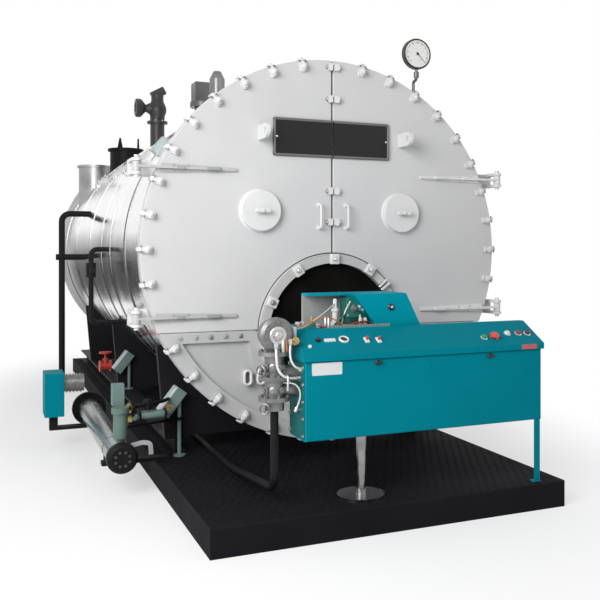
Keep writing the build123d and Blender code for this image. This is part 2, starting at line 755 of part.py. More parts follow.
with BuildPart() as burner_hood:
    with BuildSketch(front(HOOD_Y[1])):
        with BuildLine():
            Polyline(
                (HOOD_FOOT_X[0], CONSOLE_H[1]),
                (HOOD_FOOT_X[1], CONSOLE_H[1]),
                (HOOD_FOOT_X[1], HOOD_SIDE_H),
                (HOOD_TOP_X[1], HOOD_TOP_H),
                (HOOD_TOP_X[0], HOOD_TOP_H),
                close=True,
            )
        make_face()
    extrude(amount=HOOD_Y[1] - HOOD_Y[0])
    block((HOOD_LEFT, HOOD_TOP_X[1] - HOOD_EDGE), (HOOD_Y[1] - HOOD_ROOF_D, HOOD_Y[1]),
          (over(HOOD_TOP_H) - HOOD_ROOF, over(HOOD_TOP_H)))
    block(HEAD_X, HEAD_Y, (CONSOLE_Z[1], over(HEAD_H)), Mode.SUBTRACT)
    fillet(burner_hood.edges().filter_by(Axis.Y).group_by(Axis.X)[-2], HOOD_EDGE)
save(burner_hood.part, "burner_hood")

with BuildPart() as hood_back:
    wall = (over(CONSOLE_H[1]), over(HOOD_TOP_H) - HOOD_ROOF)
    block((HOOD_LEFT, HOOD_FOOT_X[0]), (HOOD_Y[1] - HOOD_BACK_T, HOOD_Y[1]), wall)
    with BuildSketch(front(HOOD_Y[1])):
        with BuildLine():
            Polyline(
                (HOOD_FOOT_X[0], CONSOLE_H[1]),
                (HOOD_FOOT_X[1], CONSOLE_H[1]),
                (HOOD_FOOT_X[1], HOOD_TOP_H),
                (HOOD_TOP_X[0], HOOD_TOP_H),
                close=True,
            )
        make_face()
    extrude(amount=HOOD_Y[1] - HOOD_Y[0], mode=Mode.SUBTRACT)
save(hood_back.part, "hood_back")

with BuildPart() as console_leg:
    near = (CONSOLE_Y[0], CONSOLE_Y[0] + LEG_W)
    block((LEG_X - LEG_W / 2, LEG_X + LEG_W / 2), near, (DECK_Z, CONSOLE_Z[0]))
save(console_leg.part, "console_leg")

with BuildPart() as burner_pedestal:
    post(PEDESTAL_X, PEDESTAL_Y, (DECK_Z, DECK_Z + PEDESTAL_FOOT_T), PEDESTAL_FOOT_R)
    post(PEDESTAL_X, PEDESTAL_Y, (DECK_Z, CONSOLE_Z[0]), PEDESTAL_R)
save(burner_pedestal.part, "burner_pedestal")

with BuildPart() as valve_block:
    post(VALVE_X, VALVE_Y, (over(VALVE_H[0]), over(VALVE_H[1])), VALVE_R)
    for h in VALVE_FLANGES_H:
        post(VALVE_X, VALVE_Y, (over(h), over(h) + VALVE_FLANGE_T), VALVE_FLANGE_R)
    y_bonnet = VALVE_Y - BONNET_T / 2
    outline = [(y_bonnet, 0), (y_bonnet, BONNET_R - BONNET_RIM), (y_bonnet + BONNET_RIM, BONNET_R)]
    outline += [(y_bonnet + BONNET_RIM + BONNET_RIM_T, BONNET_R)]
    outline += [(y_bonnet + 2 * BONNET_RIM_T, BONNET_R - BONNET_RIM)]
    outline += [(y_bonnet + BONNET_T, BONNET_R - BONNET_RIM), (y_bonnet + BONNET_T, 0)]
    faced(VALVE_X, over(VALVE_H[1]), outline)
    for h in ARMS_H:
        arm((VALVE_X, CONSOLE_X[0]), VALVE_Y, over(h), ARM_R)
save(valve_block.part, "valve_block")

with BuildPart() as oil_line:
    run = [(*OIL_FROM, DECK_Z + OIL_R), (*OIL_TURN, DECK_Z + OIL_R)]
    run += [(VALVE_X, VALVE_Y, DECK_Z + OIL_R + OIL_BEND), (VALVE_X, VALVE_Y, over(VALVE_H[0]))]
    pipe(run, OIL_R, OIL_BEND)
save(oil_line.part, "oil_line")

# Fittings on top of the boiler
with BuildPart() as steam_valve:
    post(STEAM_X, STEAM_Y, (AXIS_Z, over(STEAM_BODY_H)), STEAM_R)
    post(STEAM_X, STEAM_Y, (over(STEAM_NECK_H) - STEAM_FLANGE_T, over(STEAM_NECK_H)), STEAM_FLANGE_R)
    with Locations((STEAM_X, STEAM_Y, over(STEAM_BODY_H))):
        Sphere(STEAM_BODY_R)
    top = over(STEAM_TOP_H)
    post(STEAM_X, STEAM_Y, (over(STEAM_BODY_H), top), STEAM_BONNET_R)
    post(STEAM_X, STEAM_Y, (top - 2 * STEAM_CAP_T, top - STEAM_CAP_T), STEAM_CAP_R)
    x_face = STEAM_X - STEAM_REACH
    arm((x_face, STEAM_X), STEAM_Y, over(STEAM_BODY_H), STEAM_ARM_R)
    arm((x_face, x_face + STEAM_FLANGE_T), STEAM_Y, over(STEAM_BODY_H), STEAM_FLANGE_R)
    arm((x_face, x_face + STEAM_REACH / 2), STEAM_Y, over(STEAM_BODY_H), STEAM_BORE_R, Mode.SUBTRACT)
    face = Plane(origin=(x_face, STEAM_Y, over(STEAM_BODY_H)), x_dir=(0, 1, 0), z_dir=(1, 0, 0))
    with BuildSketch(face):
        with PolarLocations(STEAM_BOLT_PCD_R, STEAM_BOLTS, 180 / STEAM_BOLTS):
            Circle(STEAM_BOLT_R)
    extrude(amount=STEAM_FLANGE_T, mode=Mode.SUBTRACT)
    seat_on_shell()
save(steam_valve.part, "steam_valve")

with BuildPart() as safety_valve:
    low = over(SAFETY_FLANGE_H) - SAFETY_FLANGE_T
    high = over(SAFETY_FLANGE_H) + SAFETY_FLANGE_T
    top = over(SAFETY_TOP_H)
    outline = [(0, AXIS_Z), (SAFETY_R, AXIS_Z), (SAFETY_R, low), (SAFETY_FLANGE_R, low)]
    outline += [(SAFETY_FLANGE_R, high), (SAFETY_R, high), (SAFETY_TOP_R, high + SAFETY_TOP_R)]
    outline += [(SAFETY_TOP_R, top - SAFETY_TOP_R), (SAFETY_TOP_R / 2, top), (0, top)]
    turned(0, SAFETY_Y, outline)
    seat_on_shell()
save(safety_valve.part, "safety_valve")

with BuildPart() as steam_nozzle:
    half = NOZZLE_BOX / 2
    lid = (over(NOZZLE_TOP_H) - NOZZLE_BOX, over(NOZZLE_TOP_H))
    post(0, NOZZLE_Y, (AXIS_Z, over(NOZZLE_TOP_H) - half), NOZZLE_R)
    post(0, NOZZLE_Y, (lid[0] - 2 * NOZZLE_FLANGE_T, lid[0]), NOZZLE_FLANGE_R)
    block((-half, half), (NOZZLE_Y - half, NOZZLE_Y + half), lid)
    seat_on_shell()
save(steam_nozzle.part, "steam_nozzle")

with BuildPart() as flue_outlet:
    top = over(FLUE_TOP_H)
    post(FLUE_X, FLUE_Y, (AXIS_Z, top), FLUE_R)
    post(FLUE_X, FLUE_Y, (top - FLUE_LIP_T, top), FLUE_R + FLUE_LIP)
    seat_on_shell()
save(flue_outlet.part, "flue_outlet")

with BuildPart() as manhole:
    top = over(MANHOLE_TOP_H)
    post(MANHOLE_X, MANHOLE_Y, (AXIS_Z, top), MANHOLE_R)
    post(MANHOLE_X, MANHOLE_Y, (top - MANHOLE_LID_T, top), MANHOLE_LID_R)
    for x_vent, foot_r in zip(VENT_OFF, VENT_R):
        spire = [(0, top), (foot_r, top), (VENT_TIP, top + VENT_RISE), (0, top + VENT_RISE)]
        turned(MANHOLE_X + x_vent, MANHOLE_Y, spire)
    seat_on_shell()
save(manhole.part, "manhole")

with BuildPart() as gauge_syphon:
    foot_h = math.sqrt(RING_R**2 - GAUGE_X**2) - RING_WALL
    y_loop = GAUGE_Y + GAUGE_LOOP
    run = [(GAUGE_X, GAUGE_Y, over(foot_h)), (GAUGE_X, GAUGE_Y, over(GAUGE_LOOP_H[0]))]
    run += [(GAUGE_X, y_loop, over(GAUGE_LOOP_H[0])), (GAUGE_X, y_loop, over(GAUGE_LOOP_H[1]))]
    run += [(GAUGE_X, GAUGE_Y, over(GAUGE_LOOP_H[1])), (GAUGE_X, GAUGE_Y, over(GAUGE_H))]
    pipe(run, GAUGE_STEM_R, GAUGE_BEND)
    cock = over(GAUGE_H - GAUGE_COCK_DROP)
    post(GAUGE_X, GAUGE_Y, (cock - GAUGE_COCK_T / 2, cock + GAUGE_COCK_T / 2), GAUGE_COCK_R)
    drum(0, (RING_FRONT, TUBE_PLATE_Y), AXIS_Z, RING_R, Mode.SUBTRACT)
    drum(GAUGE_X, (GAUGE_Y - GAUGE_T, GAUGE_Y + GAUGE_T), over(GAUGE_H), GAUGE_R, Mode.SUBTRACT)
save(gauge_syphon.part, "gauge_syphon")

with BuildPart() as pressure_gauge:
    near = GAUGE_Y - GAUGE_T / 2
    far = GAUGE_Y + GAUGE_T / 2
    outline = [(far, 0), (near + GAUGE_DIAL, 0), (near + GAUGE_DIAL, GAUGE_R - GAUGE_BEZEL)]
    outline += [(near, GAUGE_R - GAUGE_BEZEL / 2), (near + GAUGE_DIAL, GAUGE_R)]
    outline += [(far - GAUGE_DIAL, GAUGE_R), (far, GAUGE_R - GAUGE_BEZEL)]
    faced(GAUGE_X, over(GAUGE_H), outline)
save(pressure_gauge.part, "pressure_gauge")

# Pipes on the left side of the boiler
with BuildPart() as feed_pipe:
    run = [(-SHELL_R + SHELL_WALL, FEED_Y, over(FEED_H)), (FEED_X, FEED_Y, over(FEED_H))]
    run += [(FEED_X, FEED_Y, FEED_FOOT_Z)]
    pipe(run, FEED_R, FEED_BEND)
    post(FEED_X, FEED_Y, (FEED_FOOT_Z, FEED_FOOT_Z + FEED_FLANGE_T), FEED_FLANGE_R)
    arm((FEED_X - FEED_STUB, -SHELL_R + SHELL_WALL), FEED_Y, over(FEED_TEE_H), FEED_R)
    seat_on_shell()
save(feed_pipe.part, "feed_pipe")

with BuildPart() as level_column:
    x_low = -math.sqrt(SHELL_R**2 - LEVEL_H[1] ** 2) + SHELL_WALL
    run = [(-SHELL_R + SHELL_WALL, LEVEL_Y, over(LEVEL_H[0])), (LEVEL_X, LEVEL_Y, over(LEVEL_H[0]))]
    run += [(LEVEL_X, LEVEL_Y, over(LEVEL_H[1])), (x_low, LEVEL_Y, over(LEVEL_H[1]))]
    pipe(run, LEVEL_R, LEVEL_BEND)
    tall = (over(LEVEL_VALVE_H) - LEVEL_VALVE_T / 2, over(LEVEL_VALVE_H) + LEVEL_VALVE_T / 2)
    post(LEVEL_X, LEVEL_Y, tall, LEVEL_VALVE_R)
    drum(LEVEL_X, (LEVEL_Y - LEVEL_VALVE_T, LEVEL_Y), over(LEVEL_VALVE_H), LEVEL_R)
    seat_on_shell()
save(level_column.part, "level_column")

# Blow-down line on the left rail
x_joint = BLOW_X + BLOW_HALF
with BuildPart() as blowdown_line:
    arm((x_joint, 0), BLOW_Y, BLOW_Z, BLOW_PIPE_R)
    arm((x_joint, x_joint + BLOW_FLANGE_T), BLOW_Y, BLOW_Z, BLOW_FLANGE_R)
    post(ACT_X, BLOW_Y, (RAIL_TOP, BLOW_Z), BLOW_POST_R)
    seat_on_shell()
save(blowdown_line.part, "blowdown_line")

with BuildPart() as blowdown_valve:
    ends = (BLOW_X - BLOW_HALF, x_joint)
    arm(ends, BLOW_Y, BLOW_Z, BLOW_R)
    arm((ends[0], ends[0] + BLOW_FLANGE_T), BLOW_Y, BLOW_Z, BLOW_FLANGE_R)
    arm((ends[1] - BLOW_FLANGE_T, ends[1]), BLOW_Y, BLOW_Z, BLOW_FLANGE_R)
    for radius, rise in (BLOW_BONNET, BLOW_STEM):
        post(BLOW_X, BLOW_Y, (BLOW_Z, BLOW_Z + rise), radius)
    wheel = BLOW_Z + BLOW_STEM[1]
    with BuildSketch(Plane(origin=(BLOW_X, BLOW_Y, wheel))):
        Circle(BLOW_WHEEL_R)
        with PolarLocations(BLOW_WHEEL_R / 2, BLOW_WHEEL_HOLES):
            Circle(BLOW_WHEEL_HOLE_R, mode=Mode.SUBTRACT)
    extrude(amount=BLOW_WHEEL_T)
save(blowdown_valve.part, "blowdown_valve")

# Oil heater beside the plinth
with BuildPart() as oil_preheater:
    drum(HEATER_X, HEATER_Y, HEATER_Z, HEATER_R)
save(oil_preheater.part, "oil_preheater")

with BuildPart() as preheater_ends:
    drum(HEATER_X, (HEATER_Y[0] - HEATER_CAP_T, HEATER_Y[0]), HEATER_Z, HEATER_CAP_R)
    fillet(preheater_ends.faces().sort_by(Axis.Y)[0].edges(), HEATER_CAP_T / 2)
    drum(HEATER_X, (HEATER_Y[1], HEATER_Y[1] + HEATER_FLANGE_T), HEATER_Z, HEATER_FLANGE_R)
save(preheater_ends.part, "preheater_ends")

with BuildPart() as preheater_brackets:
    plate = (DECK_Z, DECK_Z + CRADLE_T)
    for middle in CRADLE_AT:
        wide = (middle - CRADLE_W / 2, middle + CRADLE_W / 2)
        block((-CRADLE_REACH, -RAIL_OUT), wide, plate)
        block((HEATER_X - CRADLE_HALF, HEATER_X + CRADLE_HALF), wide, (plate[1], plate[1] + CRADLE_RISE))
    rear = (CRADLE_AT[-1] - CRADLE_W / 2, CRADLE_AT[-1] + CRADLE_W / 2)
    block((BOX_X - BOX_POST / 2, -CRADLE_REACH), rear, plate)
    block((BOX_X - BOX_POST / 2, BOX_X + BOX_POST / 2), rear, (plate[1], BOX_Z[0]))
    drum(HEATER_X, HEATER_Y, HEATER_Z, HEATER_R, Mode.SUBTRACT)
save(preheater_brackets.part, "preheater_brackets")

with BuildPart() as terminal_box:
    deep = (CRADLE_AT[-1] - BOX_D / 2, CRADLE_AT[-1] + BOX_D / 2)
    block((BOX_X - BOX_W / 2, BOX_X + BOX_W / 2), deep, BOX_Z)
    fillet(terminal_box.edges().filter_by(Axis.Z), CONSOLE_EDGE)
save(terminal_box.part, "terminal_box")

with BuildPart() as pump_motor:
    x_flange = BOX_X + BOX_W / 2
    arm((x_flange, x_flange + MOTOR_LEN), CRADLE_AT[-1], MOTOR_Z, MOTOR_R)
    for rib in range(MOTOR_RIBS):
        x_rib = x_flange + (rib + 1) * MOTOR_LEN / (MOTOR_RIBS + 1)
        arm((x_rib - MOTOR_RIB / 2, x_rib + MOTOR_RIB / 2), CRADLE_AT[-1], MOTOR_Z, MOTOR_RIB_R)
save(pump_motor.part, "pump_motor")

with BuildPart() as oil_filter:
    foot = HEATER_Z + HEATER_R + FILTER_NECK
    head = FILTER_TOP_Z - FILTER_HEAD
    outline = [(0, HEATER_Z), (FILTER_NECK_R, HEATER_Z), (FILTER_NECK_R, foot)]
    outline += [(FILTER_R, foot + FILTER_NECK / 2), (FILTER_R, head), (FILTER_HEAD_R, head)]
    outline += [(FILTER_HEAD_R, FILTER_TOP_Z), (0, FILTER_TOP_Z)]
    turned(HEATER_X, FILTER_Y, outline)
    drum(HEATER_X, HEATER_Y, HEATER_Z, HEATER_R, Mode.SUBTRACT)
save(oil_filter.part, "oil_filter")

with BuildPart() as control_boxes:
    post(HEATER_X, STAT_Y, (HEATER_Z, STAT_Z[0]), STAT_STEM_R)
    half = STAT_W / 2
    block((HEATER_X - half, HEATER_X + half), (STAT_Y - half, STAT_Y + half), STAT_Z)
    drum(HEATER_X, HEATER_Y, HEATER_Z, HEATER_R, Mode.SUBTRACT)
    x_post = ACT_X + ACT_POST_OFF
    for start, z_foot in zip(SADDLE_AT, (DECK_Z, RAIL_TOP)):
        y_box = start - ACT_GAP
        post(x_post, y_box, (z_foot, z_foot + ACT_FOOT_T), ACT_FOOT_R)
        post(x_post, y_box, (z_foot, ACT_Z + ACT_POST_RISE), ACT_POST_R)
        with Locations(Location((ACT_X, y_box, ACT_Z), (0, ACT_TILT, 0))):
            Box(*ACT_W)
save(control_boxes.part, "control_boxes")

with BuildPart() as oil_pipework:
    y_turn = FILTER_Y + LINE_OUT
    x_turn = HEATER_X + LINE_OUT
    x_end = ACT_X + (LINE_Z - ACT_Z) * math.tan(math.radians(ACT_TILT))
    run = [(HEATER_X, FILTER_Y, LINE_Z), (x_turn, FILTER_Y, LINE_Z), (x_turn, y_turn, LINE_Z)]
    run += [(x_end, y_turn, LINE_Z), (x_end, SADDLE_AT[0] - ACT_GAP - ACT_W[1] / 2, LINE_Z)]
    pipe(run, LINE_R, LINE_BEND)
    post(HEATER_X, FILTER_Y, (HEATER_Z, FILTER_TOP_Z), FILTER_R, Mode.SUBTRACT)
save(oil_pipework.part, "oil_pipework")
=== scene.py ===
"""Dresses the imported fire-tube boiler: camera, plain studio, finishes and the small parts on each sub-assembly."""

import logging
import math
from dataclasses import dataclass
from enum import Enum

import bmesh
import bpy
import numpy as np
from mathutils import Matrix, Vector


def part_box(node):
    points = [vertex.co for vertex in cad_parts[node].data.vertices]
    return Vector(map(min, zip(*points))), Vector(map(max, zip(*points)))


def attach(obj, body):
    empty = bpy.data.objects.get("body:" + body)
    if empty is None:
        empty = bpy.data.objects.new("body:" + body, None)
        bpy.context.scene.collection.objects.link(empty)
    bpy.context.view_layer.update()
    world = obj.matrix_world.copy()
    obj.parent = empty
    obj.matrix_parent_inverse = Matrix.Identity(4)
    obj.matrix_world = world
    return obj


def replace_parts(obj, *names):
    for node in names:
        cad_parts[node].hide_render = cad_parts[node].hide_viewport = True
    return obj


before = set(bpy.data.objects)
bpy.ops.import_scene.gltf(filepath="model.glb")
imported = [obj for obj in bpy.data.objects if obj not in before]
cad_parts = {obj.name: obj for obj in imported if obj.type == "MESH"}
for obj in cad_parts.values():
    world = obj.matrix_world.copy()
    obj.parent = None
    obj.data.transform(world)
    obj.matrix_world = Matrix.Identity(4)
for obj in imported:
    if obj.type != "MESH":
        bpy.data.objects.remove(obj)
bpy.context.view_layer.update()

LOG = logging.getLogger("boiler")
Array = np.ndarray
Pair = tuple[float, float]
Triple = tuple[float, float, float]
Constants = dict[str | int, float | tuple[float, ...]]
Sources = dict[str | int, bpy.types.NodeSocket]

AXIS_Z = 1.535
TURN = 2.0 * math.pi
FORWARD = (0.0, -1.0, 0.0)
BACKWARD = (0.0, 1.0, 0.0)
LEFTWARD = (-1.0, 0.0, 0.0)
RIGHTWARD = (1.0, 0.0, 0.0)
UPWARD = (0.0, 0.0, 1.0)
WHITE = (1.0, 1.0, 1.0, 1.0)
BLACK = (0.0, 0.0, 0.0, 1.0)
SHARP_ANGLE = math.radians(36.0)
LEAST_RADIUS = 1e-4
NOISE_SPREAD = (0.3, 0.7)
BROAD_DETAIL = 5.0
FINE_DETAIL = 3.0
LEAST_ROUGHNESS = 0.02
GRAIN_STRENGTH = 0.6
RUB_MATCH = (0.97, 0.80)
RUB_SHARE = 0.55
CASTING = (-0.690, -0.880)
CASTING_FLANGES = (-0.800, -0.690, -0.560)
CASTING_FLANGE_THICK = 0.022
BONNET_FRONT = -0.940
BONNET_HEIGHT = -0.450


class Body(Enum):
    """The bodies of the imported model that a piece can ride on."""

    BOILER = "boiler"
    LEFT_DOOR = "left_front_door"
    RIGHT_DOOR = "right_front_door"


class Grain(Enum):
    """How the skin of a finish is worked: the stretch of its fine noise along X, Y and Z."""

    SPRAYED = (1.0, 1.0, 1.0)
    DRAWN = (1.0, 0.03, 1.0)
    WRAPPED = (0.05, 1.0, 0.05)


def placed(name: str, data: bpy.types.ID) -> bpy.types.Object:
    """Makes an object of the data and links it into the scene."""
    made = bpy.data.objects.new(name, data)
    bpy.context.scene.collection.objects.link(made)
    return made


def new_material(name: str) -> tuple[bpy.types.Material, bpy.types.NodeTree]:
    """Makes a material with nodes and gives it with its tree."""
    made = bpy.data.materials.new(name)
    made.use_nodes = True
    return made, made.node_tree


def fill(tree: bpy.types.NodeTree, node: bpy.types.Node, values: Constants, links: Sources) -> None:
    """Sets constants on a node's sockets and leads other nodes' sockets into it.

    Args:
        tree: node tree of the node.
        node: node to fill.
        values: constant for each socket, by its name or number.
        links: socket that feeds each socket, by its name or number.
    """
    for key, value in values.items():
        node.inputs[key].default_value = value
    for key, source in links.items():
        tree.links.new(source, node.inputs[key])


def add_node(
    tree: bpy.types.NodeTree, kind: str, values: Constants | None = None, links: Sources | None = None,
    **settings: str | int,
) -> bpy.types.Node:
    """Adds a shader node and fills it.

    Args:
        tree: node tree that it joins.
        kind: the type's name without its first word.
        values: constants, as fill() takes them.
        links: sources, as fill() takes them.
        settings: the node's own settings.

    Returns:
        The node.
    """
    made = tree.nodes.new(f"ShaderNode{kind}")
    for key, value in settings.items():
        setattr(made, key, value)
    fill(tree, made, values or {}, links or {})
    return made


@dataclass(frozen=True)
class Finish:
    """A paint, metal or plastic with mottled colour, uneven gloss, grain and rubbed edges, and painted shade lower
    down where a shade tone is given.
    """

    name: str
    colour: Triple
    roughness: float = 0.45
    metallic: float = 0.0
    specular: float = 0.5
    grain: Grain = Grain.SPRAYED
    grain_scale: float = 160.0
    grain_depth: float = 0.0006
    mottle: float = 0.06
    mottle_scale: float = 2.2
    gloss_play: float = 0.08
    wave_depth: float = 0.0
    wave_scale: float = 1.3
    rubbed: Triple | None = None
    rub_width: float = 0.006
    # painted shade: share of the colour left below the lower height, and the two heights it fades between
    painted_shade_tone: float = 1.0
    painted_shade_heights: Pair = (1.30, 1.75)

    def material(self) -> bpy.types.Material:
        """Returns the finish's material, made on first use."""
        known = bpy.data.materials.get(f"finish_{self.name}")
        return known or self._build()

    def _build(self) -> bpy.types.Material:
        """Builds the node tree: broad noise sways tint and gloss, fine noise gives grain, edges rub through, painted
        shade darkens the lower part where asked.

        Returns:
            The new material.
        """
        made, tree = new_material(f"finish_{self.name}")
        place = add_node(tree, "TexCoord").outputs["Object"]
        stretched = add_node(tree, "Mapping", {"Scale": self.grain.value}, {"Vector": place}).outputs["Vector"]
        broad, fine = (
            add_node(tree, "TexNoise", {"Scale": scale, "Detail": detail}, {"Vector": stretched}).outputs["Fac"]
            for scale, detail in ((self.mottle_scale, BROAD_DETAIL), (self.grain_scale, FINE_DETAIL))
        )
        tint = self._tint(tree, broad)
        # painted shade: darker towards the bottom
        if self.painted_shade_tone != 1.0:
            tint = self._paint_shade_below(tree, place, tint)
        if self.rubbed:
            tint = self._rub(tree, tint, fine)
        low, high = NOISE_SPREAD
        gloss = {
            "From Min": low, "From Max": high, "To Min": max(LEAST_ROUGHNESS, self.roughness - self.gloss_play),
            "To Max": min(1.0, self.roughness + self.gloss_play),
        }
        rough = add_node(tree, "MapRange", gloss, {"Value": broad}).outputs["Result"]
        fill(
            tree, tree.nodes["Principled BSDF"], {"Metallic": self.metallic, "Specular IOR Level": self.specular},
            {"Base Color": tint, "Roughness": rough, "Normal": self._relief(tree, place, fine)},
        )
        return made

    def _tint(self, tree: bpy.types.NodeTree, broad: bpy.types.NodeSocket) -> bpy.types.NodeSocket:
        """Swings the colour a little darker and lighter with the broad noise.

        Args:
            tree: node tree that it joins.
            broad: socket of the broad noise.

        Returns:
            The colour socket.
        """
        ramp = add_node(tree, "ValToRGB", {}, {"Fac": broad})
        base = np.array(self.colour)
        tones = (base * (1.0 - self.mottle), np.minimum(base * (1.0 + self.mottle), 1.0))
        for stop, position, tone in zip(ramp.color_ramp.elements, NOISE_SPREAD, tones):
            stop.position = position
            stop.color = (*tone, 1.0)
        return ramp.outputs["Color"]

    def _paint_shade_below(
        self, tree: bpy.types.NodeTree, place: bpy.types.NodeSocket, tint: bpy.types.NodeSocket
    ) -> bpy.types.NodeSocket:
        """Paints shade: brings the colour down to the shade tone from the upper of two heights to the lower, so the
        lower part is darker.

        Args:
            tree: node tree that it joins.
            place: socket of the place.
            tint: colour of the whole paint.

        Returns:
            The colour socket with the painted shade.
        """
        height = add_node(tree, "SeparateXYZ", {}, {"Vector": place}).outputs["Z"]
        low, high = self.painted_shade_heights
        tone = add_node(
            tree, "MapRange", {"From Min": low, "From Max": high, "To Min": self.painted_shade_tone}, {"Value": height}
        ).outputs["Result"]
        return add_node(tree, "VectorMath", {}, {"Vector": tint, "Scale": tone}, operation="SCALE").outputs["Vector"]

    def _rub(
        self, tree: bpy.types.NodeTree, tint: bpy.types.NodeSocket, fine: bpy.types.NodeSocket
    ) -> bpy.types.NodeSocket:
        """Shows the rubbed colour where a rounded normal leaves the true one, broken by the fine noise.

        Args:
            tree: node tree that it joins.
            tint: colour of the whole paint.
            fine: socket of the fine noise.

        Returns:
            The worn colour socket.
        """
        soft = add_node(tree, "Bevel", {"Radius": self.rub_width}, samples=4).outputs["Normal"]
        true = add_node(tree, "NewGeometry").outputs["Normal"]
        match = add_node(tree, "VectorMath", {}, {0: soft, 1: true}, operation="DOT_PRODUCT").outputs["Value"]
        start, full = RUB_MATCH
        edge = add_node(
            tree, "MapRange", {"From Min": start, "From Max": full, "To Max": RUB_SHARE}, {"Value": match}
        ).outputs["Result"]
        broken = add_node(tree, "Math", {}, {0: edge, 1: fine}, operation="MULTIPLY").outputs["Value"]
        return add_node(
            tree, "Mix", {"B": (*self.rubbed, 1.0)}, {"Factor": broken, "A": tint}, data_type="RGBA"
        ).outputs["Result"]

    def _relief(
        self, tree: bpy.types.NodeTree, place: bpy.types.NodeSocket, fine: bpy.types.NodeSocket
    ) -> bpy.types.NodeSocket:
        """Raises the fine grain, over broad waves where the sheet has them.

        Args:
            tree: node tree that it joins.
            place: socket of the place.
            fine: socket of the fine noise.

        Returns:
            The normal socket.
        """
        grain = add_node(tree, "Bump", {"Strength": GRAIN_STRENGTH, "Distance": self.grain_depth}, {"Height": fine})
        if self.wave_depth:
            waves = add_node(tree, "TexNoise", {"Scale": self.wave_scale, "Detail": 1.0}, {"Vector": place})
            swell = add_node(tree, "Bump", {"Distance": self.wave_depth}, {"Height": waves.outputs["Fac"]})
            fill(tree, grain, {}, {"Normal": swell.outputs["Normal"]})
        return grain.outputs["Normal"]


SILVER_DOOR = Finish("silver_door_paint", (0.56, 0.56, 0.565), 0.45, specular=0.3, mottle=0.05, mottle_scale=1.1)
SILVER_IRON = Finish(
    "silver_iron_paint", (0.66, 0.66, 0.665), 0.4, specular=0.35, mottle=0.06, grain_scale=90.0, grain_depth=0.001,
)
APRON_PAINT = Finish("apron_paint", (0.455, 0.455, 0.46), 0.38, specular=0.35, mottle=0.07, mottle_scale=1.6)
CLADDING = Finish(
    "cladding_sheet", (0.88, 0.88, 0.885), 0.15, 1.0, grain=Grain.WRAPPED, grain_scale=120.0, grain_depth=0.0003,
    mottle=0.08, mottle_scale=3.0, gloss_play=0.05, wave_depth=0.014, wave_scale=1.1,
)
RING_SILVER = Finish(
    "ring_silver", (0.74, 0.74, 0.745), 0.3, 0.55, grain=Grain.WRAPPED, mottle=0.06, wave_depth=0.006, wave_scale=1.6,
)
BAND_STEEL = Finish("band_steel", (0.30, 0.30, 0.31), 0.25, 1.0, grain=Grain.WRAPPED, mottle=0.1, gloss_play=0.08)
# The band sheet is darkened towards the bottom as painted shade.
BAND_SHEET = Finish(
    "band_sheet", (0.90, 0.90, 0.905), 0.22, 1.0, grain=Grain.WRAPPED, mottle=0.1, gloss_play=0.06, painted_shade_tone=0.10,
)
JOINT_DARK = Finish("joint_dark", (0.10, 0.10, 0.102), 0.5, 0.4, specular=0.2, grain=Grain.WRAPPED, mottle=0.15)
PEDESTAL_STEEL = Finish("pedestal_steel", (0.30, 0.30, 0.305), 0.2, 1.0, mottle=0.25, mottle_scale=16.0)
BRIGHT_STEEL = Finish("bright_steel", (0.62, 0.62, 0.63), 0.24, 1.0, mottle=0.1, mottle_scale=12.0)
ZINC = Finish("zinc_plate", (0.55, 0.55, 0.54), 0.36, 1.0, mottle=0.14, mottle_scale=25.0)
PLINTH_BLACK = Finish(
    "plinth_black", (0.010, 0.0095, 0.012), 0.7, specular=0.04, mottle=0.2, rubbed=(0.04, 0.04, 0.044),
)
FRAME_BLACK = Finish(
    "frame_black", (0.009, 0.008, 0.010), 0.55, specular=0.12, mottle=0.2, rubbed=(0.05, 0.05, 0.055),
)
FITTING_BLACK = Finish(
    "fitting_black", (0.010, 0.010, 0.011), 0.5, specular=0.1, mottle=0.18, mottle_scale=14.0, grain_scale=70.0,
    grain_depth=0.0012, rubbed=(0.08, 0.08, 0.08),
)
VALVE_IRON = Finish(
    "valve_iron", (0.045, 0.045, 0.047), 0.42, 0.3, 0.4, mottle=0.25, mottle_scale=9.0, grain_scale=60.0,
    grain_depth=0.002, rubbed=(0.16, 0.16, 0.16),
)
NOZZLE_GREY = Finish("nozzle_grey", (0.13, 0.13, 0.133), 0.38, 0.5, mottle=0.15, mottle_scale=7.0)
DOME_GREY = Finish("dome_grey", (0.22, 0.22, 0.222), 0.32, 0.7, mottle=0.16, mottle_scale=8.0)
VALVE_RED = Finish("valve_red", (0.46, 0.035, 0.02), 0.38, mottle=0.1, mottle_scale=16.0, rubbed=(0.6, 0.25, 0.2))
SOOT = Finish("soot", (0.007, 0.0066, 0.006), 0.92, specular=0.02, mottle=0.3, mottle_scale=7.0)
LINING = Finish("door_lining", (0.38, 0.34, 0.29), 0.9, mottle=0.16, mottle_scale=5.0, grain_depth=0.003)
NAMEPLATE_BLACK = Finish("nameplate_black", (0.008, 0.008, 0.009), 0.3, specular=0.3, mottle=0.1)
NAMEPLATE_EDGE = Finish("nameplate_edge", (0.16, 0.16, 0.165), 0.35, 0.6, mottle=0.1)
TEAL = Finish("teal_panel", (0.0, 0.187, 0.243), 0.45, specular=0.03, mottle=0.05, rubbed=(0.03, 0.23, 0.27))
TEAL_HOOD = Finish("teal_hood", (0.0, 0.262, 0.342), 0.42, specular=0.03, mottle=0.05, rubbed=(0.05, 0.30, 0.35))
BODY_GREEN = Finish(
    "body_green", (0.002, 0.046, 0.036), 0.5, specular=0.2, mottle=0.2, mottle_scale=6.0, grain_depth=0.001,
)
COVER_GREEN = Finish("cover_green", (0.006, 0.112, 0.104), 0.45, specular=0.15, mottle=0.15, mottle_scale=7.0)
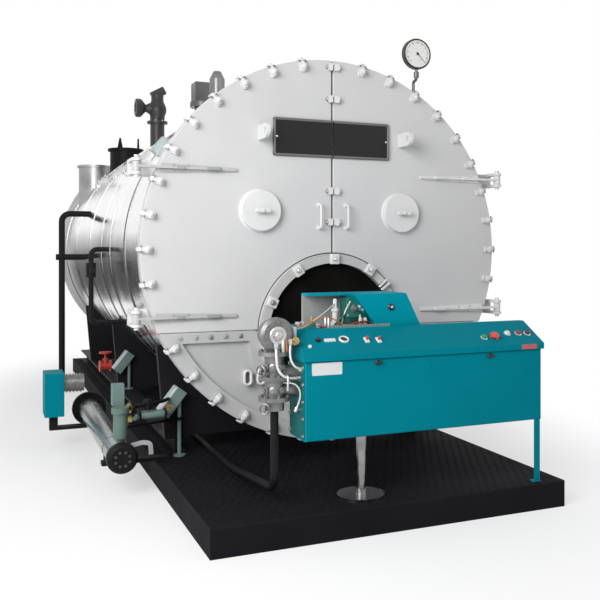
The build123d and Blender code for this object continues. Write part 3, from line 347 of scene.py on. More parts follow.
SERVO_GREEN = Finish("servo_green", (0.012, 0.13, 0.10), 0.4, specular=0.3, mottle=0.14, mottle_scale=14.0)
CAST_GREY = Finish(
    "cast_grey", (0.19, 0.193, 0.188), 0.36, 0.6, mottle=0.3, mottle_scale=14.0, grain_scale=70.0, grain_depth=0.002,
)
PANEL_GREY = Finish("panel_grey", (0.33, 0.34, 0.335), 0.5, 0.2, specular=0.2, mottle=0.08, mottle_scale=6.0)
HEATER_SILVER = Finish(
    "heater_silver", (0.31, 0.345, 0.335), 0.26, 0.9, grain=Grain.DRAWN, mottle=0.28, mottle_scale=18.0,
    gloss_play=0.08,
)
FILTER_GREEN = Finish(
    "filter_green", (0.10, 0.16, 0.135), 0.45, specular=0.3, mottle=0.14, mottle_scale=12.0, grain_scale=80.0,
)
ACTUATOR_GREEN = Finish("actuator_green", (0.14, 0.21, 0.20), 0.42, specular=0.3, mottle=0.1, mottle_scale=9.0)
BOX_PALE = Finish("box_pale", (0.50, 0.56, 0.57), 0.4, mottle=0.06, mottle_scale=8.0, rubbed=(0.68, 0.71, 0.71))
COVER_PALE = Finish("cover_pale", (0.33, 0.39, 0.39), 0.42, mottle=0.12, mottle_scale=14.0, rubbed=(0.16, 0.18, 0.18))
FLUE_GREY = Finish("flue_grey", (0.36, 0.36, 0.362), 0.34, 0.7, mottle=0.2, mottle_scale=5.0)
BRASS = Finish("brass", (0.46, 0.32, 0.13), 0.34, 1.0, mottle=0.14, mottle_scale=20.0)
DIAL_WHITE = Finish("dial_white", (0.74, 0.74, 0.72), 0.45, mottle=0.02)
LABEL_WHITE = Finish("label_white", (0.60, 0.62, 0.62), 0.4, mottle=0.04, mottle_scale=18.0)
LABEL_RED = Finish("label_red", (0.44, 0.09, 0.10), 0.4, mottle=0.06, mottle_scale=18.0)
KNOB_RED = Finish("knob_red", (0.58, 0.05, 0.03), 0.28, mottle=0.06, mottle_scale=30.0)
LAMP_RED = Finish("lamp_red", (0.26, 0.030, 0.034), 0.30, specular=0.3, mottle=0.06)
LAMP_DARK = Finish("lamp_dark", (0.085, 0.018, 0.026), 0.30, specular=0.3, mottle=0.06)
KNOB_GREEN = Finish("knob_green", (0.0, 0.23, 0.09), 0.28, mottle=0.06, mottle_scale=30.0)
KNOB_WHITE = Finish("knob_white", (0.66, 0.67, 0.66), 0.3, mottle=0.04, mottle_scale=30.0)
KNOB_BLACK = Finish("knob_black", (0.012, 0.012, 0.013), 0.36, mottle=0.1, mottle_scale=30.0)
HOSE_WHITE = Finish("hose_white", (0.64, 0.65, 0.64), 0.42, mottle=0.06, mottle_scale=20.0)
WIRE_ORANGE = Finish("wire_orange", (0.46, 0.17, 0.05), 0.4, mottle=0.08, mottle_scale=20.0)
WIRE_RED = Finish("wire_red", (0.38, 0.04, 0.03), 0.4, mottle=0.08, mottle_scale=20.0)

NODE_FINISH: dict[str, Finish] = {
    "plinth": PLINTH_BLACK, "deck_plate": PLINTH_BLACK, "base_rails": FRAME_BLACK, "saddles": FRAME_BLACK,
    "boiler_shell": CLADDING, "cladding_bands": BAND_SHEET, "smokebox_ring": RING_SILVER, "front_tube_plate": SOOT,
    "furnace_neck": SOOT, "rear_cover": SILVER_DOOR, "lower_front_plate": APRON_PAINT, "burner_ring": APRON_PAINT,
    "burner_plate": SOOT, "hinge_brackets": SILVER_IRON, "left_door": SILVER_DOOR, "right_door": SILVER_DOOR,
    # The left hinge straps take the darker apron paint as painted shade; the right ones keep the silver ironwork
    # paint.
    "left_door_lining": LINING, "right_door_lining": LINING, "left_hinge_straps": APRON_PAINT,
    "right_hinge_straps": SILVER_IRON, "left_door_plug": SILVER_IRON, "right_door_plug": SILVER_IRON,
    "left_door_ironwork": SILVER_IRON, "right_door_ironwork": SILVER_IRON, "left_rim_clamps": SILVER_IRON,
    "right_rim_clamps": SILVER_IRON, "left_nameplate": NAMEPLATE_BLACK, "right_nameplate": NAMEPLATE_BLACK,
    "burner_body": BODY_GREEN, "burner_console": TEAL, "control_desk": TEAL, "burner_hood": TEAL_HOOD,
    "hood_back": PANEL_GREY, "console_leg": TEAL, "burner_pedestal": PEDESTAL_STEEL, "valve_block": CAST_GREY,
    "oil_line": FITTING_BLACK, "steam_valve": VALVE_IRON, "safety_valve": DOME_GREY,
    "steam_nozzle": NOZZLE_GREY, "flue_outlet": FLUE_GREY, "gauge_syphon": NOZZLE_GREY,
    "pressure_gauge": KNOB_BLACK, "feed_pipe": FITTING_BLACK, "level_column": FITTING_BLACK,
    "oil_preheater": HEATER_SILVER, "preheater_ends": FITTING_BLACK, "preheater_brackets": FRAME_BLACK,
    "terminal_box": TEAL, "pump_motor": CAST_GREY, "oil_filter": FILTER_GREEN, "control_boxes": ACTUATOR_GREEN,
    "oil_pipework": FILTER_GREEN, "manhole": FITTING_BLACK, "blowdown_line": FRAME_BLACK,
    "blowdown_valve": VALVE_RED,
}


def unit(vectors: Array) -> Array:
    """Scales each row to length one."""
    return vectors / np.linalg.norm(vectors, axis=-1, keepdims=True)


def spots(x: Array | float, y: Array | float, z: Array | float) -> Array:
    """Gives points from their coordinates, each an array or one number for all, row by row."""
    return np.stack([values.reshape(-1) for values in np.broadcast_arrays(x, y, z)], axis=-1)


@dataclass
class Surface:
    """Points with the four-cornered and three-cornered faces between them."""

    points: Array
    quads: Array
    tris: Array

    def repeated(self, origins: Array, ups: Array, acrosses: Array) -> "Surface":
        """Sets a copy at each origin: its own Z runs along up and its own X along the part of across square to up.

        Args:
            origins: places, one row each.
            ups: direction of the copy's Z, one row each or one for all.
            acrosses: direction near the copy's X, one row each or one for all.

        Returns:
            All the copies as one surface.
        """
        origins = np.atleast_2d(np.asarray(origins, float))
        up = unit(np.broadcast_to(np.asarray(ups, float), origins.shape))
        across = np.broadcast_to(np.asarray(acrosses, float), origins.shape)
        across = unit(across - np.sum(across * up, axis=1, keepdims=True) * up)
        basis = np.stack([across, np.cross(up, across), up], axis=1)
        points = origins[:, None, :] + np.einsum("nj,kji->kni", self.points, basis)
        shift = (np.arange(len(origins)) * len(self.points))[:, None, None]
        quads = (self.quads[None] + shift).reshape(-1, 4)
        tris = (self.tris[None] + shift).reshape(-1, 3)
        return Surface(points.reshape(-1, 3), quads, tris)

    def at(self, origin: Triple, up: Triple = UPWARD, across: Triple = RIGHTWARD) -> "Surface":
        """Sets one copy at the origin, turned as repeated() says."""
        return self.repeated(np.array([origin]), np.array(up), np.array(across))

    def joined(self, *others: "Surface") -> "Surface":
        """Puts this surface and the others into one, their faces counted on.

        Args:
            others: surfaces to add.

        Returns:
            The joined surface.
        """
        parts = (self, *others)
        starts = np.cumsum([0] + [len(part.points) for part in parts[:-1]])
        return Surface(
            np.concatenate([part.points for part in parts]),
            np.concatenate([part.quads + start for part, start in zip(parts, starts)]),
            np.concatenate([part.tris + start for part, start in zip(parts, starts)]),
        )

    def piece(self, name: str, finish: Finish, body: Body = Body.BOILER, slot: str = "steel") -> bpy.types.Object:
        """Puts the surface into a mesh object that rides on a body.

        Args:
            name: name of the piece.
            finish: finish that it gets.
            body: body that it moves with.
            slot: material slot of the record that it follows; not used.

        Returns:
            The finished piece.
        """
        mesh = bpy.data.meshes.new(name)
        mesh.from_pydata(self.points.tolist(), [], [*self.quads.tolist(), *self.tris.tolist()])
        shape = bmesh.new()
        shape.from_mesh(mesh)
        bmesh.ops.recalc_face_normals(shape, faces=shape.faces)
        shape.to_mesh(mesh)
        shape.free()
        mesh.polygons.foreach_set("use_smooth", np.ones(len(mesh.polygons), bool))
        mesh.set_sharp_from_angle(angle=SHARP_ANGLE)
        mesh.materials.append(finish.material())
        made = placed(name, mesh)
        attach(made, body.value)
        LOG.info("piece %s on %s: %d faces", name, body.value, len(mesh.polygons))
        return made


def woven(rows: Array, loop: bool = False, first: Array | None = None, last: Array | None = None) -> Surface:
    """Weaves a grid whose rows are closed rings into faces: each face takes two neighbours of a ring and of the next.

    Args:
        rows: points, ring by ring.
        loop: whether the last ring meets the first.
        first: point that closes the first ring with a fan.
        last: point that closes the last ring with a fan.

    Returns:
        The surface.
    """
    count, sides = rows.shape[:2]
    index = np.arange(count * sides).reshape(count, sides)
    low = index if loop else index[:-1]
    high = np.roll(index, -1, axis=0) if loop else index[1:]
    quads = np.stack([low, np.roll(low, -1, axis=1), np.roll(high, -1, axis=1), high], axis=-1).reshape(-1, 4)
    points = [rows.reshape(-1, 3)]
    fans = [np.zeros((0, 3), int)]
    for tip, ring, turn in ((first, index[0], 1), (last, index[-1], -1)):
        if tip is not None:
            centre = np.full(sides, sum(len(p) for p in points))
            pair = (np.roll(ring, -1), ring)[::turn]
            fans.append(np.stack([centre, *pair], axis=-1))
            points.append(np.asarray(tip, float).reshape(1, 3))
    return Surface(np.concatenate(points), quads, np.concatenate(fans))


def turned(profile: Array, sides: int = 20) -> Surface:
    """Turns a profile about Z: the point at (r cos a, r sin a, z) for each pair r, z and each angle a.

    Args:
        profile: radius and height in rising order; a radius of nought at an end makes a pole.
        sides: points round the axis.

    Returns:
        The surface, closed where the profile ends on the axis or on itself.
    """
    profile = np.asarray(profile, float)
    poles = [profile[0, 0] == 0.0, profile[-1, 0] == 0.0]
    body = profile[int(poles[0]) : len(profile) - int(poles[1])]
    angle = np.linspace(0.0, TURN, sides, endpoint=False)
    radius = body[:, :1]
    height = np.repeat(body[:, 1:], sides, axis=1)
    rows = np.stack([radius * np.cos(angle), radius * np.sin(angle), height], axis=-1)
    first = np.array([0.0, 0.0, profile[0, 1]]) if poles[0] else None
    last = np.array([0.0, 0.0, profile[-1, 1]]) if poles[1] else None
    return woven(rows, not any(poles), first, last)


def peg(radius: float, low: float, high: float, sides: int = 14, head: Pair | None = None) -> Surface:
    """Turns a round peg about Z from low to high, and on from there to its head where it has one.

    Args:
        radius: radius of the straight part.
        low: height of its foot.
        high: height where the straight part ends.
        sides: points round the axis.
        head: radius and height of a flat head above the straight part.

    Returns:
        The closed peg.
    """
    wall = [(radius, low), (radius, high)] + ([head] if head else [])
    return turned([(0.0, low), *wall, (0.0, wall[-1][1])], sides)


def rounded(width: float, height: float, radius: float, steps: int = 4) -> Array:
    """Gives a rectangle with quarter-circle corners: each corner's centre plus radius times the angle's direction."""
    angle = np.linspace(0.0, math.pi / 2.0, steps)
    quarter = np.arange(4)[:, None] * math.pi / 2.0
    turn = (quarter + angle[None]).reshape(-1)
    centre = np.array([[1, 1], [-1, 1], [-1, -1], [1, -1]]) * (np.array([width, height]) / 2.0 - radius)
    return np.repeat(centre, steps, axis=0) + radius * np.stack([np.cos(turn), np.sin(turn)], axis=-1)


def slab(width: float, height: float, radius: float, levels: list[Pair], steps: int = 4) -> Surface:
    """Carries a rounded rectangle up through levels, drawn in by each level's inset, with both ends closed.

    Args:
        width: size along X.
        height: size along Y.
        radius: corner radius.
        levels: inset and Z of each ring.
        steps: points to a corner.

    Returns:
        The closed surface.
    """
    rings = [
        spots(*rounded(width - 2 * inset, height - 2 * inset, max(radius - inset, LEAST_RADIUS), steps).T, z)
        for inset, z in levels
    ]
    ends = (np.array([0.0, 0.0, levels[end][1]]) for end in (0, -1))
    return woven(np.stack(rings), False, *ends)


def plate(width: float, height: float, thick: float, radius: float = 0.003, edge: float = 0.001) -> Surface:
    """Makes a rounded plate on Z nought whose upper edge is broken by a small chamfer."""
    return slab(width, height, radius, [(0.0, 0.0), (0.0, thick - edge), (edge, thick)])


def carried(path: Array, profile: Array, out: Array, loop: bool = False) -> Surface:
    """Carries a closed profile along a path: point = path + u times the side + v times the outward direction.

    Args:
        path: points that the profile passes through.
        profile: closed outline of u and v.
        out: outward direction, one for all points or one for each.
        loop: whether the path closes on itself.

    Returns:
        The surface, its ends closed by fans unless it loops.
    """
    path = np.asarray(path, float)
    ahead = np.roll(path, -1, axis=0) - np.roll(path, 1, axis=0) if loop else np.gradient(path, axis=0)
    ahead = unit(ahead)
    out = np.broadcast_to(np.asarray(out, float), path.shape)
    side = unit(np.cross(ahead, out))
    rise = np.cross(side, ahead)
    rows = path[:, None] + profile[None, :, :1] * side[:, None] + profile[None, :, 1:] * rise[:, None]
    return woven(rows, loop, None if loop else path[0], None if loop else path[-1])


def ring_profile(radius: float, sides: int = 10) -> Array:
    """Gives a circle of the radius as a profile."""
    angle = np.linspace(0.0, TURN, sides, endpoint=False)
    return radius * np.stack([np.cos(angle), np.sin(angle)], axis=-1)


def flat_profile(width: float, low: float, high: float, edge: float = 0.001) -> Array:
    """Gives a flat bar from low to high with broken upper corners, as a profile."""
    half = width / 2.0
    crown = [(half, high - edge), (half - edge, high), (edge - half, high), (-half, high - edge)]
    return np.array([(-half, low), (half, low), *crown])


def smooth_path(corners: list[Triple], radius: float, steps: int = 6) -> Array:
    """Rounds the corners of a path: near each corner the points follow (1-t)^2 a + 2t(1-t) corner + t^2 b.

    Args:
        corners: points of the straight runs.
        radius: distance from a corner at which its curve starts.
        steps: points to a curve.

    Returns:
        The points of the rounded path.
    """
    bends = np.asarray(corners, float)
    before = unit(bends[:-2] - bends[1:-1]) * radius + bends[1:-1]
    after = unit(bends[2:] - bends[1:-1]) * radius + bends[1:-1]
    t = np.linspace(0.0, 1.0, steps)[None, :, None]
    curve = (1 - t) ** 2 * before[:, None] + 2 * t * (1 - t) * bends[1:-1, None] + t**2 * after[:, None]
    return np.concatenate([bends[:1], curve.reshape(-1, 3), bends[-1:]])


def bolt_head(reach: float, height: float, washer: float = 0.0) -> Surface:
    """Makes a six-sided head with a broken top edge, on a round washer where one is asked for.

    Args:
        reach: distance from the middle to a corner.
        height: height of the head.
        washer: thickness of the washer, or nought.

    Returns:
        The head standing on Z nought.
    """
    top = washer + height
    head = turned([(0, washer), (reach, washer), (reach, top - 0.15 * height), (0.82 * reach, top), (0, top)], 6)
    if not washer:
        return head
    return head.joined(peg(1.45 * reach, 0.0, washer))


def mirrored(values: tuple[float, ...]) -> Array:
    """Gives the values and then the same values on the other side of nought."""
    return np.concatenate([values, np.negative(values)])


def circle_points(radius: float, angles: Array, y: float, height: float = 0.0) -> Array:
    """Gives points at the angles on a circle square to the boiler axis, its centre at the height over the axis."""
    turn = np.radians(angles)
    return spots(radius * np.cos(turn), y, AXIS_Z + height + radius * np.sin(turn))


def radial(angles: Array) -> Array:
    """Gives the direction out from the boiler axis at each angle."""
    turn = np.radians(angles)
    return spots(np.cos(turn), 0.0, np.sin(turn))


@dataclass
class Studio:
    """The plain floor, the soft light, a grey card for the bright sheet to mirror, and the photograph's camera."""

    camera_place: Triple = (-2.087, -5.113, 1.535)
    camera_turn: float = -24.1
    sensor: float = 36.0
    lens: float = 50.28
    shift: Pair = (-0.1, -0.0845)
    sight: float = 200.0
    ambient: float = 0.41
    key_light: tuple[Triple, Triple, float, float] = ((-4.0, -3.4, 3.3), (0.0, 0.0, 1.4), 3.0, 295.0)
    fill_light: tuple[Triple, Triple, float, float] = ((6.5, -5.5, 4.5), (0.0, 1.0, 1.2), 4.0, 45.0)
    floor_half: float = 60.0
    floor_tone: float = 0.9
    floor_middle: float = 2.5
    floor_reach: Pair = (2.6, 5.2)
    floor_fade: Pair = (0.6, 1.2)
    floor_glow: float = 0.5
    card_edge: tuple[Pair, ...] = ((9.5, 0.01), (16.0, 0.01), (16.0, 2.5))
    card_sides: Pair = (-10.0, -1.4)
    card_ends: Pair = (0.09, 1.0)
    card_tones: tuple[Pair, ...] = ((0.3, 0.13), (0.55, 0.26), (0.8, 0.62))

    def build(self) -> None:
        """Makes the world, the lamps, the floor, the card and the camera."""
        self._world()
        self._lamp("key_light", *self.key_light)
        self._lamp("fill_light", *self.fill_light)
        self._floor()
        self._card()
        self._camera()
        bpy.context.scene.view_settings.view_transform = "Standard"

    def _seen(self, tree: bpy.types.NodeTree) -> bpy.types.NodeSocket:
        """Gives one for camera, mirror and glass rays and nought for the rest.

        Args:
            tree: node tree that the test joins.

        Returns:
            The socket of the test.
        """
        rays = add_node(tree, "LightPath").outputs
        total = rays["Is Camera Ray"]
        for name in ("Is Glossy Ray", "Is Transmission Ray"):
            total = add_node(tree, "Math", {}, {0: total, 1: rays[name]}, operation="MAXIMUM").outputs["Value"]
        return total

    def _world(self) -> None:
        """Makes a world that is white where it is seen and a soft light elsewhere."""
        world = bpy.data.worlds.new("studio_world")
        bpy.context.scene.world = world
        world.use_nodes = True
        tree = world.node_tree
        strength = add_node(tree, "MapRange", {"To Min": self.ambient}, {"Value": self._seen(tree)})
        fill(tree, tree.nodes["Background"], {"Color": WHITE}, {"Strength": strength.outputs["Result"]})

    def _lamp(self, name: str, place: Triple, target: Triple, size: float, power: float) -> None:
        """Adds a square soft light.

        Args:
            name: name of the lamp.
            place: where it stands.
            target: point that it faces.
            size: side of its square.
            power: its watts.
        """
        lamp = bpy.data.lights.new(name, "AREA")
        lamp.size = size
        lamp.energy = power
        stand = placed(name, lamp)
        stand.location = place
        away = unit(np.array(place) - np.array(target))
        stand.rotation_euler = (math.acos(away[2]), 0.0, math.atan2(away[0], -away[1]))

    def _floor(self) -> None:
        """Lays a pale floor that takes shadows near the object and runs out into the white further off."""
        mesh = bpy.data.meshes.new("floor")
        corner = np.array([(-1, -1, 0), (1, -1, 0), (1, 1, 0), (-1, 1, 0)]) * self.floor_half
        mesh.from_pydata(corner.tolist(), [], [(0, 1, 2, 3)])
        floor = placed("floor", mesh)
        made, tree = new_material("floor_paint")
        paint = tree.nodes["Principled BSDF"]
        tone = self.floor_tone
        fill(tree, paint, {"Base Color": (tone, tone, tone, 1.0), "Roughness": 0.9, "Specular IOR Level": 0.0}, {})
        place = add_node(tree, "TexCoord").outputs["Object"]
        across, along = self.floor_reach
        oval = {"Location": (0.0, -self.floor_middle / along, 0.0), "Scale": (1.0 / across, 1.0 / along, 0.0)}
        centred = add_node(tree, "Mapping", oval, {"Vector": place}).outputs["Vector"]
        reach = add_node(tree, "VectorMath", {}, {0: centred}, operation="LENGTH").outputs["Value"]
        near, far = self.floor_fade
        fade = add_node(
            tree, "MapRange", {"From Min": near, "From Max": far, "To Min": self.floor_glow}, {"Value": reach},
            interpolation_type="SMOOTHSTEP",
        ).outputs["Result"]
        share = add_node(tree, "Math", {}, {0: fade, 1: self._seen(tree)}, operation="MULTIPLY").outputs["Value"]
        glow = add_node(tree, "Emission", {"Color": WHITE}).outputs["Emission"]
        blend = add_node(tree, "MixShader", {}, {"Fac": share, 1: paint.outputs["BSDF"], 2: glow}).outputs["Shader"]
        fill(tree, tree.nodes["Material Output"], {}, {"Surface": blend})
        mesh.materials.append(made)

    def _card(self) -> None:
        """Stands a grey card that only mirrors see far behind on the left, so that the bright sheet has a dark band.

        Its foot runs forward over the floor, and its grey falls from white at the head to near black at the foot.
        """
        mesh = bpy.data.meshes.new("mirror_card")
        corners = [(x, y, z) for y, z in self.card_edge for x in self.card_sides]
        mesh.from_pydata(corners, [], [(0, 1, 3, 2), (2, 3, 5, 4)])
        made, tree = new_material("mirror_card")
        place = add_node(tree, "TexCoord").outputs["Object"]
        height = add_node(tree, "SeparateXYZ", {}, {"Vector": place}).outputs["Z"]
        share = add_node(tree, "MapRange", {"From Max": self.card_edge[-1][1]}, {"Value": height}).outputs["Result"]
        ramp = add_node(tree, "ValToRGB", {}, {"Fac": share})
        stops = ramp.color_ramp.elements
        for stop, grey in zip(stops, self.card_ends):
            stop.color = (grey, grey, grey, 1.0)
        for position, grey in self.card_tones:
            stops.new(position).color = (grey, grey, grey, 1.0)
        fill(
            tree, tree.nodes["Principled BSDF"],
            {"Base Color": BLACK, "Specular IOR Level": 0.0, "Emission Strength": 1.0},
            {"Emission Color": ramp.outputs["Color"]},
        )
        mesh.materials.append(made)
        card = placed("mirror_card", mesh)
        card.visible_camera = False
        card.visible_diffuse = False
        card.visible_transmission = False
        card.visible_shadow = False

    def _camera(self) -> None:
        """Sets the level camera with the photograph's lens and shift."""
        eye = bpy.data.cameras.new("camera")
        eye.sensor_width = self.sensor
        eye.lens = self.lens
        eye.shift_x, eye.shift_y = self.shift
        eye.clip_end = self.sight
        stand = placed("camera", eye)
        stand.location = self.camera_place
        stand.rotation_euler = (math.pi / 2.0, 0.0, math.radians(self.camera_turn))
        bpy.context.scene.camera = stand


@dataclass
class Plinth:
    """The chequered deck on the plinth."""

    half_width: float = 1.075
    front: float = -1.04
    rear: float = 6.04
    deck: float = 0.155
    pitch: float = 0.056
    stud: float = 0.0125
    rise: float = 0.0035
    rail: Pair = (0.84, 0.992)
    rail_front: float = 0.55

    def build(self) -> None:
        """Sets rows of low round studs on the deck, each second row half a step over, clear of the rails."""
        across = np.arange(-self.half_width + self.pitch / 2, self.half_width - self.pitch / 4, self.pitch)
        along = np.arange(self.front + self.pitch / 2, self.rear - self.pitch / 4, self.pitch)
        x, y = np.meshgrid(across, along, indexing="ij")
        x = x + (np.arange(len(along)) % 2 - 0.5) * self.pitch / 2.0
        inside = np.abs(x) < self.half_width - self.stud
        on_rail = (np.abs(x) > self.rail[0]) & (np.abs(x) < self.rail[1]) & (y > self.rail_front)
        keep = inside & ~on_rail
        places = spots(x[keep], y[keep], self.deck)
        dome = [(self.stud, -0.001), (0.78 * self.stud, 0.8 * self.rise), (0.0, self.rise)]
        stud = turned([(0.0, -0.001), *dome], 6)
        stud.repeated(places, UPWARD, RIGHTWARD).piece("deck_studs", PLINTH_BLACK, slot="deck_black")


@dataclass
class FrontRim:
    """The nuts, dogs and pins of the rim clamps, on the doors and on the lower plate."""

    circle: float = 1.200
    pad_front: float = -0.034
    dog_width: float = 0.026
    dog_thick: float = 0.012
    dog_gap: float = 0.011
    dog_lap: float = 0.028
    dog_heights: Pair = (-0.050, 0.020)
    dog_bend: float = 0.022
    rim: float = 1.242
    step: float = 10.0
    pin: float = 0.0056
    pin_length: float = 0.046
    pin_inset: float = 0.004
    pin_front: float = -0.020
    rows: tuple[tuple[str, int, float, Body], ...] = (
        ("right_clamp", 10, -10.0, Body.RIGHT_DOOR), ("left_clamp", 10, 100.0, Body.LEFT_DOOR),
        ("lower_clamp", 13, 210.0, Body.BOILER),
    )

    def build(self) -> None:
        """Dresses the three rows of clamps."""
        for name, count, first, body in self.rows:
            self._row(name, np.arange(count) * self.step + first, body)

    def _row(self, name: str, angles: Array, body: Body) -> None:
        """Sets a nut with its stud on each boss and a pinned dog that reaches over the rim beside it.

        Args:
            name: start of the pieces' names.
            angles: places round the rim in degrees.
            body: body that carries them.
        """
        out = radial(angles)
        nut = bolt_head(0.0165, 0.013, 0.003)
        stud = peg(0.0075, 0.01, 0.024, 10, (0.005, 0.027))
        seats = circle_points(self.circle, angles, self.pad_front)
        nut.joined(stud).repeated(seats, FORWARD, out).piece(f"{name}_nuts", SILVER_IRON, body, "door_silver")
        back = self.rim + self.dog_gap
        low, high = self.dog_heights
        bends = [(back, 0.0, low), (back, 0.0, high), (self.circle - self.dog_lap, 0.0, high)]
        path = smooth_path(bends, self.dog_bend)
        path[:, 0] -= self.circle
        dog = carried(path, rounded(self.dog_width, self.dog_thick, 0.004, 3)[:, ::-1], BACKWARD)
        base = circle_points(self.circle, angles, 0.0)
        dog.repeated(base, FORWARD, out).piece(f"{name}_dogs", SILVER_IRON, body, "door_silver")
        half = self.pin_length / 2.0
        pin = peg(self.pin, -half, half, 10)
        holes = circle_points(self.rim - self.pin_inset, angles, self.pin_front)
        along = np.cross(out, np.array(FORWARD))
        pin.repeated(holes, along, FORWARD).piece(f"{name}_pins", DOME_GREY, body)


@dataclass
class FrontDoor:
    """The small ironwork of one front door; side is -1 for the left door and 1 for the right."""

    side: float
    body: Body
    ear_heights: tuple[float, ...] = (1.195, 0.985, 0.382, 0.179)
    strap_heights: tuple[float, ...] = (0.4957, -0.4144)
    strap_bolts: tuple[float, ...] = (0.955, 1.045)
    strap_blocks: tuple[Pair, ...] = ((1.0025, 0.056), (0.800, 0.090))
    block: Pair = (0.021, 0.029)
    ear_place: Pair = (0.040, -0.016)
    plug: Pair = (0.496, 0.245)
    plate_width: float = 0.410
    plate_heights: Pair = (0.600, 0.846)
    plate_front: float = -0.012
    border_inset: float = 0.008
    seam: float = 0.0062
    pull_x: float = 0.096
    pull_heights: Pair = (0.139, 0.289)

    def build(self) -> None:
        """Adds the bolts, the straps' blocks, the nameplate's border, the plug's bead and the feet of the pull."""
        hand = "left" if self.side < 0 else "right"
        self._bolts(hand)
        self._blocks(hand)
        self._border(hand)
        self._bead(hand)
        self._feet(hand)

    def _bolts(self, hand: str) -> None:
        """Sets a head across each seam ear and pairs of heads along each hinge strap."""
        ears = spots(self.side * self.ear_place[0], self.ear_place[1], AXIS_Z + np.array(self.ear_heights))
        heads = bolt_head(0.0125, 0.010, 0.002).repeated(ears, (self.side, 0.0, 0.0), UPWARD)
        x, h, up = np.meshgrid(self.strap_bolts, self.strap_heights, (-0.0158, 0.0158))
        straps = bolt_head(0.0065, 0.007).repeated(spots(self.side * x, -0.010, AXIS_Z + h + up), FORWARD, UPWARD)
        heads.joined(straps).piece(f"{hand}_door_bolts", ZINC, self.body)

    def _blocks(self, hand: str) -> None:
        """Sets two raised blocks along each hinge strap, the left door's in darker grey than the right door's silver
        as painted shade.
        """
        height, rise = self.block
        blocks = []
        for x, length in self.strap_blocks:
            seats = spots(self.side * x, -0.009, AXIS_Z + np.array(self.strap_heights))
            blocks.append(plate(length, height, rise, 0.004, 0.004).repeated(seats, FORWARD, RIGHTWARD))
        # painted shade: the left door's blocks are grey, the right door's silver
        finish = PANEL_GREY if self.side < 0 else SILVER_IRON
        blocks[0].joined(blocks[1]).piece(f"{hand}_strap_blocks", finish, self.body, "door_silver")

    def _border(self, hand: str) -> None:
        """Carries a bevelled border round three edges of the plate and sets a dome nut in it at the outer end."""
        low, high = (AXIS_Z + h for h in self.plate_heights)
        foot, head = low + self.border_inset, high - self.border_inset
        outer = self.side * (self.plate_width - self.border_inset)
        inner = self.side * self.seam
        y = self.plate_front
        corners = [(inner, y, foot), (outer, y, foot), (outer, y, head), (inner, y, head)]
        profile = np.array([(-0.0075, -0.001), (0.0075, -0.001), (0.0075, 0.002), (0.004, 0.0055), (-0.0075, 0.001)])
        profile[:, 0] *= self.side
        border = carried(smooth_path(corners, 0.012), profile, FORWARD)
        border.piece(f"{hand}_nameplate_border", NAMEPLATE_EDGE, self.body, "nameplate_black")
        nut = turned([(0, 0), (0.008, 0), (0.007, 0.004), (0.004, 0.006), (0, 0.0065)], 12)
        middle = (self.side * (self.plate_width - 0.024), y, (low + high) / 2.0)
        nut.at(middle, FORWARD).piece(f"{hand}_nameplate_nut", BRIGHT_STEEL, self.body)

    def _bead(self, hand: str) -> None:
        """Lays a weld bead round the plug's foot and sets a screw in the middle of its lever."""
        x, height = self.side * self.plug[0], AXIS_Z + self.plug[1]
        bead = turned([(0.128, -0.002), (0.141, -0.002), (0.138, 0.004), (0.128, 0.009)], 72)
        screw = bolt_head(0.010, 0.007, 0.002).at((x, -0.083, height), FORWARD)
        bead = bead.at((x, 0.0, height), FORWARD).joined(screw)
        bead.piece(f"{hand}_plug_bead", SILVER_IRON, self.body, "door_silver")

    def _feet(self, hand: str) -> None:
        """Sets a small collar at each foot of the pull."""
        feet = spots(self.side * self.pull_x, 0.0, AXIS_Z + np.array(self.pull_heights))
        collar = peg(0.017, -0.001, 0.003, 16, (0.0125, 0.0055))
        collar.repeated(feet, FORWARD, UPWARD).piece(f"{hand}_pull_collars", SILVER_IRON, self.body, "door_silver")


@dataclass
class TubePlate:
    """The rolled tube ends that show when the doors stand open."""

    front: float = 0.446
    bore: float = 0.034
    rows: tuple[tuple[float, int], ...] = ((0.620, 17), (0.725, 21), (0.830, 23), (0.935, 27), (1.040, 29))
    first: float = 8.0

    def build(self) -> None:
        """Sets a rounded bead round each tube hole."""
        seats = np.concatenate(
            [circle_points(r, np.linspace(self.first, 180.0 - self.first, n), self.front) for r, n in self.rows]
        )
        bore = self.bore
        bead = turned([(bore - 0.001, -0.001), (bore + 0.006, -0.001), (bore + 0.005, 0.004), (bore, 0.005)], 14)
        bead.repeated(seats, FORWARD, RIGHTWARD).piece("tube_end_beads", ZINC, slot="plate_dark")


